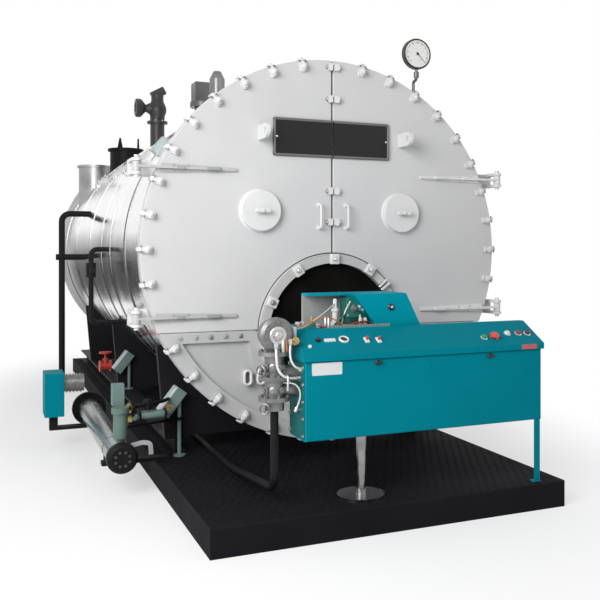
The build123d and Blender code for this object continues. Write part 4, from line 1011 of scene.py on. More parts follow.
@dataclass
class LowerFront:
    """The bolts, seals and hand loops of the lower plate and the clamps, latch, hoop and rope of the burner mouth."""

    loop_x: tuple[float, ...] = (0.4914, 0.57915)
    loop_height: float = -0.8073
    loop_front: float = -0.016
    loop: Triple = (0.044, 0.088, 0.0219)
    loop_rod: float = 0.0095
    bolt_x: tuple[float, ...] = (0.62, 0.716, 0.81, 0.904, 1.0)
    bolt_height: float = -0.545
    mouth_height: float = -0.532
    lug_circle: float = 0.4685
    clamp_back: float = -0.031
    clamp: Triple = (0.068, 0.060, 0.028)
    lugs: int = 11
    latch: tuple[float, ...] = (38.2, 41.6)
    latch_bar: Triple = (0.082, 0.017, 0.034)
    latch_inset: float = 0.008
    groove: Pair = (0.4545, 0.4825)
    groove_floor: float = -0.018
    rope: Pair = (0.4940, 0.5035)
    seal: Triple = (0.600, 0.020, 0.005)
    seal_place: Triple = (0.825, 0.009, -0.5185)

    def build(self) -> None:
        """Sets heads along the flange strip, a bolted clamp on each lug of the ring and the two bars of its latch."""
        strip = spots(mirrored(self.bolt_x), 0.0, AXIS_Z + self.bolt_height)
        heads = bolt_head(0.0105, 0.009, 0.002).repeated(strip, FORWARD, UPWARD)
        angles = 90.0 + np.arange(self.lugs) * 360.0 / self.lugs
        lugs = circle_points(self.lug_circle, angles, self.clamp_back, self.mouth_height)
        block = plate(*self.clamp, 0.005, 0.004)
        block.repeated(lugs, FORWARD, radial(angles)).piece("mouth_clamps", SILVER_IRON, slot="door_silver")
        turns = np.array(self.latch)
        bars = circle_points(self.lug_circle - self.latch_inset, turns, self.clamp_back, self.mouth_height)
        bar = plate(*self.latch_bar, 0.005, 0.004)
        bar.repeated(bars, FORWARD, radial(turns)).piece("mouth_latch", BRIGHT_STEEL, slot="door_silver")
        lugs[:, 1] -= self.clamp[2]
        ring = bolt_head(0.013, 0.011, 0.003).repeated(lugs, FORWARD, radial(angles))
        heads.joined(ring).piece("lower_front_bolts", ZINC)
        self._loops()
        self._seals()

    def _loops(self) -> None:
        """Bends a white rod round each hand loop."""
        course = spots(*rounded(*self.loop, 6).T, 0.0)
        seats = spots(mirrored(self.loop_x), self.loop_front, AXIS_Z + self.loop_height)
        loop = carried(course, ring_profile(self.loop_rod), UPWARD, True)
        loop.repeated(seats, FORWARD, RIGHTWARD).piece("hand_loops", KNOB_WHITE, slot="door_silver")

    def _seals(self) -> None:
        """Fills the ring's groove with a flat hoop and lays a rope round the ring and a seal on the lower plate."""
        middle = AXIS_Z + self.mouth_height
        inner, outer = self.groove
        face = turned([(inner, 0.0), (outer, 0.0), (outer, 0.0122), (inner, 0.0122)], 96)
        face.at((0.0, self.groove_floor, middle), FORWARD).piece("mouth_hoop", APRON_PAINT, slot="door_silver")
        inner, outer = self.rope
        rope = turned([(inner, 0), (outer, 0), (outer, 0.012), ((inner + outer) / 2, 0.0165), (inner, 0.012)], 96)
        rope.at((0.0, 0.012, middle), FORWARD).piece("mouth_rope", SILVER_DOOR, slot="door_silver")
        x, y, h = self.seal_place
        strips = plate(*self.seal, 0.002).repeated(spots(mirrored((-x,)), y, AXIS_Z + h), UPWARD, RIGHTWARD)
        strips.piece("seam_seals", SILVER_DOOR, slot="door_silver")


@dataclass
class ShellCladding:
    """The laps, rivets, joint hoop, band seal, buckles and band cover of the shell's bright sheet."""

    radius: float = 1.170
    start: float = 0.478
    end: float = 5.898
    laps: tuple[float, ...] = (62.0, 118.0, 232.0, 308.0)
    lap: tuple[float, ...] = (0.034, -0.001, 0.0014, 0.0006)
    rivet_step: float = 0.15
    bands: tuple[float, ...] = (1.10, 1.90, 2.45, 3.30, 4.60, 5.84)
    band_radius: float = 1.174
    buckle: Triple = (0.078, 0.150, 0.024)
    tongue: Triple = (0.050, 0.030, 0.037)
    screw: Pair = (0.007, 0.105)
    buckle_angle: float = 141.0
    cover_angle: float = 140.4

    def build(self) -> None:
        """Adds the lap strips with their rivets, the buckles and cover of the bands, the joint hoop and the seal."""
        self._laps()
        self._buckles()
        self._joint()

    def _laps(self) -> None:
        """Lays a thin strip along the shell at each lap, with a row of round rivets down its middle."""
        strips = []
        for angle in self.laps:
            ends = np.stack([circle_points(self.radius, np.array([angle]), y)[0] for y in (self.start, self.end)])
            strips.append(carried(ends, flat_profile(*self.lap), radial(np.array([angle]))))
        strips[0].joined(*strips[1:]).piece("cladding_laps", CLADDING, slot="cladding")
        along = np.arange(self.start + 0.06, self.end - 0.03, self.rivet_step)
        angle = np.repeat(self.laps, len(along))
        seats = circle_points(self.radius + 0.001, angle, 0.0)
        seats[:, 1] = np.tile(along, len(self.laps))
        rivet = turned([(0, 0), (0.006, 0), (0.0048, 0.0022), (0, 0.0032)], 8)
        rivet.repeated(seats, radial(angle), BACKWARD).piece("cladding_rivets", ZINC, slot="cladding")

    def _buckles(self) -> None:
        """Sets a pale cover on the first band and a draw buckle with a folded tongue and a screw on each other."""
        angle = np.full(len(self.bands) - 1, self.buckle_angle)
        seats = circle_points(self.band_radius - 0.002, angle, 0.0)
        seats[:, 1] = self.bands[1:]
        body = plate(*self.buckle, 0.012, 0.006)
        tongue = plate(*self.tongue, 0.006, 0.003)
        radius, half = self.screw
        screw = peg(radius, -half, half, 10)
        heads = np.array([(0.0, 0.094, 0.012), (0.0, -0.094, 0.012)])
        nuts = bolt_head(0.014, 0.012).repeated(heads, np.array([BACKWARD, FORWARD]), UPWARD)
        buckle = body.joined(tongue, screw.at((0.0, 0.0, 0.013), BACKWARD, UPWARD), nuts)
        out = radial(angle)
        buckle.repeated(seats, out, BACKWARD).piece("band_buckles", BRIGHT_STEEL, slot="band_steel")
        turn = np.array([self.cover_angle])
        place = circle_points(self.band_radius - 0.002, turn, self.bands[0])
        cover = slab(0.070, 0.140, 0.014, [(0.0, 0.0), (0.0, 0.040), (0.010, 0.052)])
        cover.repeated(place, radial(turn), BACKWARD).piece("band_cover", COVER_PALE, slot="box_pale")

    def _joint(self) -> None:
        """Closes the joint behind the front ring with a bright hoop and lays a dark seal along the first band."""
        hoop = turned([(1.184, -0.022), (1.1875, -0.022), (1.1885, 0.0), (1.1875, 0.022), (1.184, 0.022)], 120)
        hoop.at((0.0, 0.461, AXIS_Z), BACKWARD).piece("ring_joint_hoop", CLADDING, slot="cladding")
        seal = turned([(1.172, -0.021), (1.1765, -0.017), (1.1775, 0.0), (1.1765, 0.017), (1.172, 0.021)], 120)
        seal.at((0.0, self.bands[0], AXIS_Z), BACKWARD).piece("first_band_seal", JOINT_DARK, slot="band_steel")


@dataclass
class PressureGauge:
    """The dial, ticks and pointer of the pressure gauge."""

    centre: Triple = (0.705, 0.133, 2.918)
    radius: float = 0.0955
    sweep: Pair = (225.0, -45.0)
    pointer: float = -46.0
    hand: Pair = (0.078, 0.0048)
    hand_reach: float = 0.026
    minor_ticks: tuple[int, float, float] = (41, 0.0016, 0.009)
    major_ticks: tuple[int, float, float] = (11, 0.0032, 0.017)
    margin: float = 0.008

    def build(self) -> None:
        """Adds the white dial, its ticks and the pointer."""
        x, y, z = self.centre
        dial = peg(self.radius, -0.001, 0.0015, 40)
        dial.at(self.centre, FORWARD).piece("gauge_dial", DIAL_WHITE, slot="gauge_black")
        ticks = self._ticks(*self.minor_ticks).joined(self._ticks(*self.major_ticks))
        hub = peg(0.009, 0.0, 0.005, 16, (0.006, 0.007))
        turn = math.radians(self.pointer)
        hand = slab(*self.hand, 0.0022, [(0.0, 0.0), (0.0, 0.0015)])
        hand.points[:, 1] *= 1.0 - 0.75 * np.clip(hand.points[:, 0] / (self.hand[0] / 2.0), 0.0, 1.0)
        direction = (math.cos(turn), 0.0, math.sin(turn))
        tip = (x + self.hand_reach * direction[0], y - 0.0045, z + self.hand_reach * direction[2])
        hub.at((x, y - 0.0015, z), FORWARD).joined(ticks, hand.at(tip, FORWARD, direction)).piece(
            "gauge_pointer", KNOB_BLACK, slot="gauge_black"
        )

    def _ticks(self, count: int, width: float, length: float) -> Surface:
        """Sets small bars round the dial, each along its radius.

        Args:
            count: number of bars over the sweep.
            width: width of a bar.
            length: length of a bar.

        Returns:
            The bars as one surface.
        """
        turn = np.linspace(*self.sweep, count)
        middle = self.radius - self.margin - length / 2.0
        seats = circle_points(middle, turn, self.centre[1] - 0.0012, self.centre[2] - AXIS_Z)
        seats[:, 0] += self.centre[0]
        bar = slab(length, width, 0.0005, [(0.0, 0.0), (0.0, 0.0010)], 2)
        return bar.repeated(seats, FORWARD, radial(turn))


@dataclass
class TopFittings:
    """The steam valve, the flange bolts of the fittings on top and the ring of bolts at the rear."""

    steam: Triple = (-0.36, 4.20, 2.935)
    outlet: float = 3.075
    safety: Triple = (0.0, 3.00, 2.979)
    nozzle: Triple = (0.0, 3.60, 3.023)
    feed: Triple = (-1.38, 3.84, 0.220)
    rear: float = 5.940

    def build(self) -> None:
        """Builds the steam valve and sets rings of heads on each flange and at the rear."""
        self._valve()
        rings = [
            self._ring(self.steam, 0.0955, 8, 1.0), self._ring(self.safety, 0.077, 6, 1.0),
            self._ring(self.nozzle, 0.112, 8, -1.0), self._ring(self.feed, 0.052, 4, 1.0),
        ]
        rings[0].joined(*rings[1:]).piece("flange_bolts", ZINC)
        angles = np.arange(36) * 10.0 + 5.0
        seats = circle_points(1.200, angles, self.rear)
        bolt_head(0.016, 0.013, 0.003).repeated(seats, BACKWARD, radial(angles)).piece("rear_bolts", ZINC)

    def _valve(self) -> None:
        """Stands for the steam valve: a turned stem on its flange, a waisted outlet with a bell, a leaning lever."""
        x, y, flange = self.steam
        stem = turned([
            (0, 2.60), (0.076, 2.60), (0.076, flange - 0.022), (0.110, flange - 0.022), (0.110, flange),
            (0.076, flange), (0.080, 3.000), (0.094, 3.035), (0.098, 3.070), (0.092, 3.105), (0.070, 3.150),
            (0.066, 3.170), (0.066, 3.226), (0.056, 3.232), (0, 3.232),
        ], 36)
        outlet = turned([
            (0, 0.03), (0.066, 0.03), (0.062, 0.085), (0.043, 0.116), (0.043, 0.130), (0.064, 0.150),
            (0.092, 0.172), (0.100, 0.192), (0.099, 0.226), (0.090, 0.236), (0.054, 0.236), (0.050, 0.230),
            (0.050, 0.158), (0, 0.158),
        ], 36)
        bar = np.array([(x - 0.056, y, 3.212), (x + 0.072, y, 3.284)])
        lever = carried(bar, rounded(0.088, 0.096, 0.022), BACKWARD)
        body = stem.at((x, y, 0.0)).joined(outlet.at((x, y, self.outlet), LEFTWARD, BACKWARD), lever)
        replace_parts(body.piece("steam_valve_body", VALVE_IRON, slot="fitting_black"), "steam_valve")

    def _ring(self, centre: Triple, radius: float, count: int, way: float) -> Surface:
        """Sets heads round an upright fitting.

        Args:
            centre: middle of the flange's face.
            radius: radius of the bolt circle.
            count: number of bolts.
            way: 1 where the heads point up, -1 where they point down.

        Returns:
            The heads as one surface.
        """
        turn = (np.arange(count) + 0.5) * TURN / count
        seats = spots(np.cos(turn), np.sin(turn), 0.0) * radius + np.array(centre)
        return bolt_head(0.0095, 0.010, 0.002).repeated(seats, (0.0, 0.0, way), RIGHTWARD)


@dataclass
class ControlDesk:
    """The leg, buttons, lamps, labels and locks of the burner's desk and console."""

    front: float = -1.0
    lip_front: float = -1.012
    slope_foot: Pair = (-1.012, -0.556)
    slope_head: Pair = (-0.800, -0.440)
    leg_thick: float = 0.005

    def on_slope(self, x: float, share: float) -> Triple:
        """Gives the point on the sloping desk at X, a share of the way from its foot to its head."""
        foot, head = np.array(self.slope_foot), np.array(self.slope_head)
        y, h = foot + share * (head - foot)
        return (x, float(y), AXIS_Z + float(h))

    def out(self) -> Triple:
        """Gives the direction square to the sloping desk."""
        y, h = np.array(self.slope_head) - np.array(self.slope_foot)
        size = math.hypot(y, h)
        return (0.0, -float(h) / size, float(y) / size)

    def build(self) -> None:
        """Adds the leg, the labels, locks, buttons and the row of switches."""
        self._leg()
        self._labels()
        self._buttons()
        self._switches()

    def _leg(self) -> None:
        """Stands for the leg: an angle section carried up from a foot plate, its side flange on the right."""
        low, high = (np.array(corner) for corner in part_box("console_leg"))
        thin = self.leg_thick
        wide, deep = (high - low)[:2]
        corner = (high[0] - thin / 2.0, low[1] + thin / 2.0)
        half, u, v = thin / 2.0, wide - thin / 2.0, deep - thin / 2.0
        angle = np.array([(-u, half), (-u, -half), (-half, -half), (-half, -v), (half, -v), (half, half)])
        bar = carried(np.array([(*corner, low[2]), (*corner, high[2])]), angle, FORWARD)
        foot = plate(0.050, 0.048, 0.006).at(((low[0] + high[0]) / 2.0, (low[1] + high[1]) / 2.0, low[2]))
        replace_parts(bar.joined(foot).piece("console_leg_angle", TEAL, slot="teal_panel"), "console_leg")

    def _labels(self) -> None:
        """Sets bare label plates, two wing locks and the screws of the front."""
        white = plate(0.172, 0.066, 0.002, 0.004, 0.0006)
        white.at((-0.437, self.front, AXIS_Z - 0.632), FORWARD).piece("console_label", LABEL_WHITE, slot="box_pale")
        red = plate(0.104, 0.028, 0.002, 0.004, 0.0006)
        red.at((0.842, self.lip_front, AXIS_Z - 0.573), FORWARD).piece("desk_label", LABEL_RED, slot="box_pale")
        lock = peg(0.0145, -0.001, 0.003, 18, (0.011, 0.006))
        bit = slab(0.046, 0.013, 0.005, [(0.0, 0.004), (0.0, 0.012), (0.002, 0.014)], 3)
        locks = spots(np.array([-0.14, 0.575]), self.front, AXIS_Z - 0.615)
        lock.joined(bit).repeated(locks, FORWARD, (1.0, 0.0, 0.2)).piece("console_locks", KNOB_BLACK)
        screws = np.array([(x, self.front, AXIS_Z + h) for x in (-0.53, 0.18, 0.905) for h in (-0.985, -0.66)])
        head = turned([(0, -0.001), (0.009, -0.001), (0.0082, 0.002), (0.005, 0.0035), (0, 0.0038)], 14)
        head.repeated(screws, FORWARD, UPWARD).piece("console_screws", TEAL, slot="teal_panel")

    def _buttons(self) -> None:
        """Sets push buttons, one with a mushroom head, and two lamps in steel bezels at the right of the desk."""
        cap = turned([(0, 0.004), (0.0165, 0.004), (0.0165, 0.012), (0.014, 0.0165), (0, 0.018)], 22)
        bezel = turned([(0.0155, -0.001), (0.0225, -0.001), (0.0225, 0.004), (0.019, 0.0065), (0.0155, 0.0065)], 24)
        rows = (
            ("start_button", KNOB_GREEN, 0.572, 0.33), ("stop_button", KNOB_RED, 0.638, 0.31),
            ("reset_button", KNOB_WHITE, 0.748, 0.45), ("fault_lamp", LAMP_RED, 0.823, 0.43),
            ("flame_lamp", LAMP_DARK, 0.885, 0.41),
        )
        mushroom = turned([
            (0, 0.004), (0.012, 0.004), (0.012, 0.012), (0.029, 0.016), (0.029, 0.022), (0.022, 0.029), (0, 0.031),
        ], 24)
        for name, finish, x, share in rows:
            shape = mushroom if name == "stop_button" else cap
            shape.at(self.on_slope(x, share), self.out()).piece(name, finish, slot="steel")
        seats = np.array([self.on_slope(x, share) for _, _, x, share in rows])
        bezel.repeated(seats, self.out(), RIGHTWARD).piece("button_bezels", BRIGHT_STEEL)

    def _switches(self) -> None:
        """Sets a knob, a rocker, a small round meter, two toggles and a lamp at the left of the desk."""
        out = self.out()
        knob = turned([(0, 0), (0.015, 0), (0.013, 0.016), (0.010, 0.019), (0, 0.019)], 12)
        knob.at(self.on_slope(-0.450, 0.54), out).piece("desk_knob", KNOB_BLACK)
        rocker = plate(0.066, 0.024, 0.010, 0.004, 0.004)
        rocker.at(self.on_slope(-0.382, 0.52), out).piece("desk_rocker", KNOB_WHITE)
        rim = turned([(0.020, -0.001), (0.030, -0.001), (0.030, 0.006), (0.026, 0.010), (0.020, 0.008)], 28)
        rim.at(self.on_slope(-0.299, 0.53), out).piece("meter_rim", KNOB_WHITE)
        face = peg(0.0205, -0.001, 0.004, 24)
        face.at(self.on_slope(-0.299, 0.53), out).piece("meter_face", KNOB_BLACK)
        toggles = np.array([self.on_slope(-0.169, 0.46), self.on_slope(-0.098, 0.44)])
        base = plate(0.026, 0.046, 0.009, 0.004, 0.003)
        base.repeated(toggles, out, RIGHTWARD).piece("toggle_bases", KNOB_WHITE)
        lever = turned([(0, 0.006), (0.006, 0.006), (0.008, 0.022), (0.006, 0.028), (0, 0.029)], 12)
        lever.repeated(toggles, out, RIGHTWARD).piece("toggle_levers", KNOB_RED)
        lamp = turned([(0, -0.001), (0.011, -0.001), (0.011, 0.006), (0.007, 0.011), (0, 0.013)], 16)
        lamp.at(self.on_slope(-0.513, 0.32), out).piece("power_lamp", KNOB_WHITE)


@dataclass
class BurnerHood:
    """The latch knob of the hood and the bolts on the burner's side castings."""

    knob: Triple = (0.066, -0.740, 1.200)
    flange_circle: float = 0.069
    bonnet_circle: float = 0.066
    bolts: int = 6

    def build(self) -> None:
        """Adds the latch knob and rings of bolts on the grey castings."""
        rim = peg(0.020, -0.001, 0.006, 24, (0.015, 0.010))
        rim.at(self.knob, FORWARD).piece("hood_latch_rim", KNOB_BLACK)
        cap = turned([(0, 0.009), (0.009, 0.009), (0.008, 0.018), (0.004, 0.021), (0, 0.022)], 18)
        cap.at(self.knob, FORWARD).piece("hood_latch", BRIGHT_STEEL)
        turn = (np.arange(self.bolts) + 0.5) * TURN / self.bolts
        a, z = np.meshgrid(turn, AXIS_Z + np.array(CASTING_FLANGES) + CASTING_FLANGE_THICK)
        x, y = CASTING
        seats = spots(x + self.flange_circle * np.cos(a), y + self.flange_circle * np.sin(a), z)
        heads = bolt_head(0.0095, 0.009, 0.002).repeated(seats, UPWARD, RIGHTWARD)
        bonnet = circle_points(self.bonnet_circle, np.degrees(turn), BONNET_FRONT, BONNET_HEIGHT)
        bonnet[:, 0] += x
        ring = bolt_head(0.0095, 0.009).repeated(bonnet, FORWARD, UPWARD)
        heads.joined(ring).piece("valve_bolts", DOME_GREY, slot="block_grey")


@dataclass
class Cord:
    """A loose hose or wire: a round section along the smooth spline that its route's points steer."""

    name: str
    finish: Finish
    diameter: float
    length: float
    stiffness: str
    lay: str
    route: tuple[Triple, ...]
    far_end: str = "object"

    def build(self) -> None:
        """Lays the spline on the boiler, pushes a ferrule over a connector end and logs the cord's length."""
        curve = bpy.data.curves.new(self.name, "CURVE")
        curve.dimensions = "3D"
        curve.bevel_depth = self.diameter / 2.0
        curve.bevel_resolution = 3
        curve.use_fill_caps = True
        spline = curve.splines.new("NURBS")
        spline.points.add(len(self.route) - 1)
        spline.points.foreach_set("co", np.pad(np.array(self.route), ((0, 0), (0, 1)), constant_values=1.0).ravel())
        spline.order_u = 3
        spline.use_endpoint_u = True
        curve.materials.append(self.finish.material())
        made = placed(self.name, curve)
        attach(made, Body.BOILER.value)
        self._ferrule()
        LOG.info("cord %s: %.3f m", self.name, self.length)

    def _ferrule(self) -> list[bpy.types.Object]:
        """Pushes a ferrule over the far end of a cord that ends in a connector.

        Returns:
            The ferrule, or nothing for any other cord.
        """
        if self.far_end != "connector":
            return []
        before, end = (np.array(point) for point in self.route[-2:])
        tube = turned([(0, -0.022), (0.0052, -0.022), (0.0062, -0.018), (0.0062, 0.004), (0, 0.004)], 12)
        ferrule = tube.at(tuple(end), tuple(end - before))
        return [ferrule.piece(f"{self.name}_ferrule", BRIGHT_STEEL)]


CORDS = (
    Cord("upper_hose", HOSE_WHITE, 0.014, 0.283, "stiff", "hanging", (
        (-0.712, -0.976, 1.020), (-0.712, -0.979, 0.965), (-0.704, -0.980, 0.910), (-0.672, -0.977, 0.872),
        (-0.618, -0.960, 0.856), (-0.557, -0.930, 0.856),
    )),
    Cord("middle_hose", HOSE_WHITE, 0.012, 0.172, "stiff", "hanging", (
        (-0.630, -0.964, 1.034), (-0.633, -0.967, 1.000), (-0.631, -0.969, 0.962), (-0.616, -0.969, 0.930),
        (-0.590, -0.964, 0.909), (-0.557, -0.956, 0.903),
    )),
    Cord("lower_hose", HOSE_WHITE, 0.009, 0.177, "stiff", "hanging", (
        (-0.633, -0.928, 0.832), (-0.604, -0.950, 0.832), (-0.576, -0.957, 0.802), (-0.570, -0.957, 0.762),
        (-0.577, -0.952, 0.730), (-0.587, -0.946, 0.702),
    )),
    Cord("orange_wire", WIRE_ORANGE, 0.008, 0.60, "limp", "hanging", (
        (-0.045, -0.690, 1.110), (-0.090, -0.708, 1.119), (-0.140, -0.716, 1.110), (-0.190, -0.720, 1.100),
        (-0.235, -0.722, 1.108), (-0.276, -0.722, 1.134), (-0.318, -0.722, 1.157), (-0.365, -0.736, 1.152),
        (-0.420, -0.760, 1.136), (-0.480, -0.792, 1.122), (-0.535, -0.828, 1.114), (-0.582, -0.864, 1.108),
    )),
    Cord("red_wire", WIRE_RED, 0.007, 0.37, "limp", "hanging", (
        (-0.020, -0.676, 1.098), (-0.062, -0.704, 1.116), (-0.110, -0.722, 1.124), (-0.165, -0.727, 1.112),
        (-0.215, -0.720, 1.098), (-0.262, -0.702, 1.092), (-0.310, -0.668, 1.091), (-0.345, -0.632, 1.098),
    )),
    Cord("white_wire", HOSE_WHITE, 0.006, 0.41, "limp", "hanging", (
        (-0.580, -0.868, 1.108), (-0.535, -0.838, 1.106), (-0.488, -0.802, 1.112), (-0.440, -0.770, 1.130),
        (-0.390, -0.738, 1.152), (-0.340, -0.705, 1.174), (-0.292, -0.672, 1.196), (-0.250, -0.644, 1.220),
    ), "connector"),
)


@dataclass
class BurnerHead:
    """The servo, insulator, pump, unions, plugs and covers round the burner head and its side castings."""

    side: float = -0.560
    head_top: float = 1.085
    servo_front: float = -0.690
    pump: Triple = (-0.535, -0.716, 1.074)
    blocks: Triple = (-0.320, 0.040, 0.0165)

    def build(self) -> None:
        """Adds the small parts on the head, on the console's left end and on the castings."""
        self._servo()
        self._head()
        self._cover()
        self._unions()
        self._plugs()
        self._tray()
        self._pump()

    def _pump(self) -> None:
        """Lays a turned green pump along the back of the console, with plugs and a brass fitting on its top."""
        body = turned([
            (0, 0), (0.046, 0), (0.048, 0.018), (0.037, 0.024), (0.037, 0.088), (0.050, 0.093), (0.050, 0.132),
            (0.030, 0.140), (0, 0.140),
        ], 28)
        x, y, z = self.pump
        body.at(self.pump, RIGHTWARD, UPWARD).piece("oil_pump", SERVO_GREEN, slot="body_green")
        plugs = np.array([(x + 0.030, y - 0.010, z + 0.034), (x + 0.062, y, z + 0.035)])
        bolt_head(0.013, 0.020, 0.004).repeated(plugs, UPWARD, RIGHTWARD).piece("pump_plugs", ZINC)
        fitting = turned([(0, 0), (0.012, 0), (0.012, 0.018), (0.008, 0.022), (0.008, 0.040), (0, 0.040)], 8)
        fitting.at((x + 0.112, y - 0.012, z + 0.046)).piece("pump_fitting", BRASS, slot="pipe_brass")

    def _servo(self) -> None:
        """Sets a white stepped insulator and a green servo box with its cam, terminals, links and screws."""
        steps = [
            (0, 0), (0.026, 0), (0.026, 0.030), (0.017, 0.036), (0.017, 0.088), (0.022, 0.093), (0.022, 0.106),
            (0.012, 0.111), (0.012, 0.158), (0.006, 0.165), (0, 0.165),
        ]
        turned(steps, 20).at((-0.244, -0.640, self.head_top)).piece("insulator", KNOB_WHITE, slot="box_pale")
        box = slab(0.128, 0.100, 0.008, [(0.0, 0.0), (0.0, 0.085), (0.006, 0.092)])
        lid = slab(0.100, 0.074, 0.006, [(0.0, 0.090), (0.0, 0.104), (0.004, 0.109)])
        box.joined(lid).at((-0.130, -0.640, 1.143)).piece("servo_box", SERVO_GREEN, slot="body_green")
        cam = turned([(0, 0), (0.021, 0), (0.021, 0.010), (0.009, 0.014), (0.009, 0.030), (0, 0.030)], 24)
        cam.at((-0.150, self.servo_front, 1.196), FORWARD).piece("servo_cam", CAST_GREY, slot="block_grey")
        tabs = np.array([(x, self.servo_front, z) for x in (-0.116, -0.096, -0.076) for z in (1.186, 1.206)])
        tab = slab(0.013, 0.014, 0.002, [(0.0, 0.0), (0.0, 0.012), (0.002, 0.016)], 2)
        tab.repeated(tabs, FORWARD, RIGHTWARD).piece("servo_terminals", BOX_PALE, slot="box_pale")
        links = [
            carried(smooth_path(route, 0.02), ring_profile(0.0055), RIGHTWARD)
            for route in (
                [(-0.150, -0.716, 1.196), (-0.100, -0.722, 1.176), (-0.052, -0.690, 1.120)],
                [(-0.190, -0.676, 1.166), (-0.222, -0.694, 1.150), (-0.270, -0.664, 1.088)],
            )
        ]
        links[0].joined(links[1]).piece("servo_links", SERVO_GREEN, slot="body_green")
        screws = np.array([(x, self.servo_front, z) for x in (-0.186, -0.074) for z in (1.156, 1.216)])
        bolt_head(0.006, 0.005).repeated(screws, FORWARD, UPWARD).piece("servo_screws", ZINC)

    def _head(self) -> None:
        """Sets a relay, two wire clamps, three studs, three coil cans and the ignition lead on the head block."""
        top = self.head_top
        relay = plate(0.060, 0.044, 0.052, 0.004, 0.004)
        relay.at((-0.014, -0.652, top)).piece("relay", SERVO_GREEN, slot="body_green")
        clamp = plate(0.040, 0.030, 0.021, 0.004, 0.003)
        seats = np.array([(-0.160, -0.690, top), (-0.350, -0.615, top)])
        clamp.repeated(seats, UPWARD, RIGHTWARD).piece("wire_clamps", BOX_PALE, slot="box_pale")
        stud = peg(0.0055, 0.0, 0.060, 10, (0.003, 0.064)).joined(bolt_head(0.012, 0.010, 0.002))
        posts = np.array([(-0.318, -0.722, top), (-0.296, -0.618, top), (0.030, -0.700, top)])
        stud.repeated(posts, UPWARD, RIGHTWARD).piece("head_studs", ZINC)
        can = turned([
            (0, 0), (0.015, 0), (0.015, 0.052), (0.011, 0.057), (0.006, 0.057), (0.006, 0.074), (0, 0.074),
        ], 16)
        cans = np.array([(-0.108, -0.688, top), (-0.070, -0.676, top), (0.022, -0.640, top)])
        can.repeated(cans, UPWARD, RIGHTWARD).piece("coil_cans", KNOB_WHITE, slot="box_pale")
        lead = smooth_path([(-0.214, -0.668, 1.105), (-0.206, -0.688, 1.172), (-0.170, -0.693, 1.236)], 0.03)
        carried(lead, ring_profile(0.004), RIGHTWARD).piece("ignition_lead", KNOB_WHITE, slot="box_pale")

    def _cover(self) -> None:
        """Sets the dark green cover on the console's left end, with a row of heads down each edge."""
        cover = plate(0.222, 0.396, 0.006, 0.008)
        cover.at((self.side, -0.880, AXIS_Z - 0.800), LEFTWARD, BACKWARD).piece(
            "console_cover", COVER_GREEN, slot="body_green"
        )
        y, z = np.meshgrid((-0.982, -0.778), AXIS_Z - np.linspace(0.62, 0.98, 5))
        seats = spots(self.side - 0.006, y, z)
        bolt_head(0.008, 0.007, 0.002).repeated(seats, LEFTWARD, UPWARD).piece("cover_bolts", ZINC)

    def _unions(self) -> None:
        """Sets the hose elbows and sockets, a brass union, two sight tubes and the pale switch box."""
        nipple = peg(0.010, -0.002, 0.032)
        drop = turned([
            (0, -0.016), (0.0105, -0.016), (0.0125, -0.010), (0.0125, 0.010), (0.008, 0.014), (0, 0.014),
        ], 14)
        elbows = [
            nipple.at((x, y + 0.030, z + 0.016), FORWARD).joined(drop.at((x, y, z + 0.016)))
            for x, y, z in ((-0.712, -0.976, 1.022), (-0.630, -0.964, 1.036))
        ]
        elbows[0].joined(elbows[1]).piece("hose_elbows", BRIGHT_STEEL)
        socket = bolt_head(0.0135, 0.014, 0.003)
        ends = np.array([(self.side - 0.006, -0.930, 0.856), (self.side - 0.006, -0.956, 0.901)])
        stem = turned([
            (0, -0.004), (0.008, -0.004), (0.008, 0.020), (0.0095, 0.020), (0.0095, 0.0295), (0, 0.0295),
        ], 14)
        tail = peg(0.009, 0.0, 0.034)
        low = (-0.5916, -0.9432, 0.6891)
        socket.repeated(ends, LEFTWARD, UPWARD).joined(
            stem.at((-0.654, -0.910, 0.832), (0.766, -0.643, 0.0)), drop.at(low, (-0.33, 0.20, -0.92)),
            tail.at(low, RIGHTWARD, UPWARD),
        ).piece("hose_sockets", BRIGHT_STEEL)
        union = turned([
            (0, 0), (0.018, 0), (0.018, 0.012), (0.023, 0.014), (0.023, 0.030), (0.013, 0.034), (0.013, 0.046),
            (0, 0.046),
        ], 8)
        union.at((-0.598, -0.925, 1.052), FORWARD).piece("brass_union", BRASS, slot="pipe_brass")
        box = plate(0.052, 0.060, 0.060, 0.006, 0.004)
        box.at((-0.600, -0.880, 1.062)).piece("switch_box", BOX_PALE, slot="box_pale")
        tube = peg(0.0085, 0.0, 0.060, 14, (0.006, 0.064))
        tube.at((-0.664, -0.945, 0.996)).piece("white_sight_tube", KNOB_WHITE, slot="box_pale")
        tube.at((-0.641, -0.934, 0.996)).piece("red_sight_tube", WIRE_ORANGE, slot="box_pale")

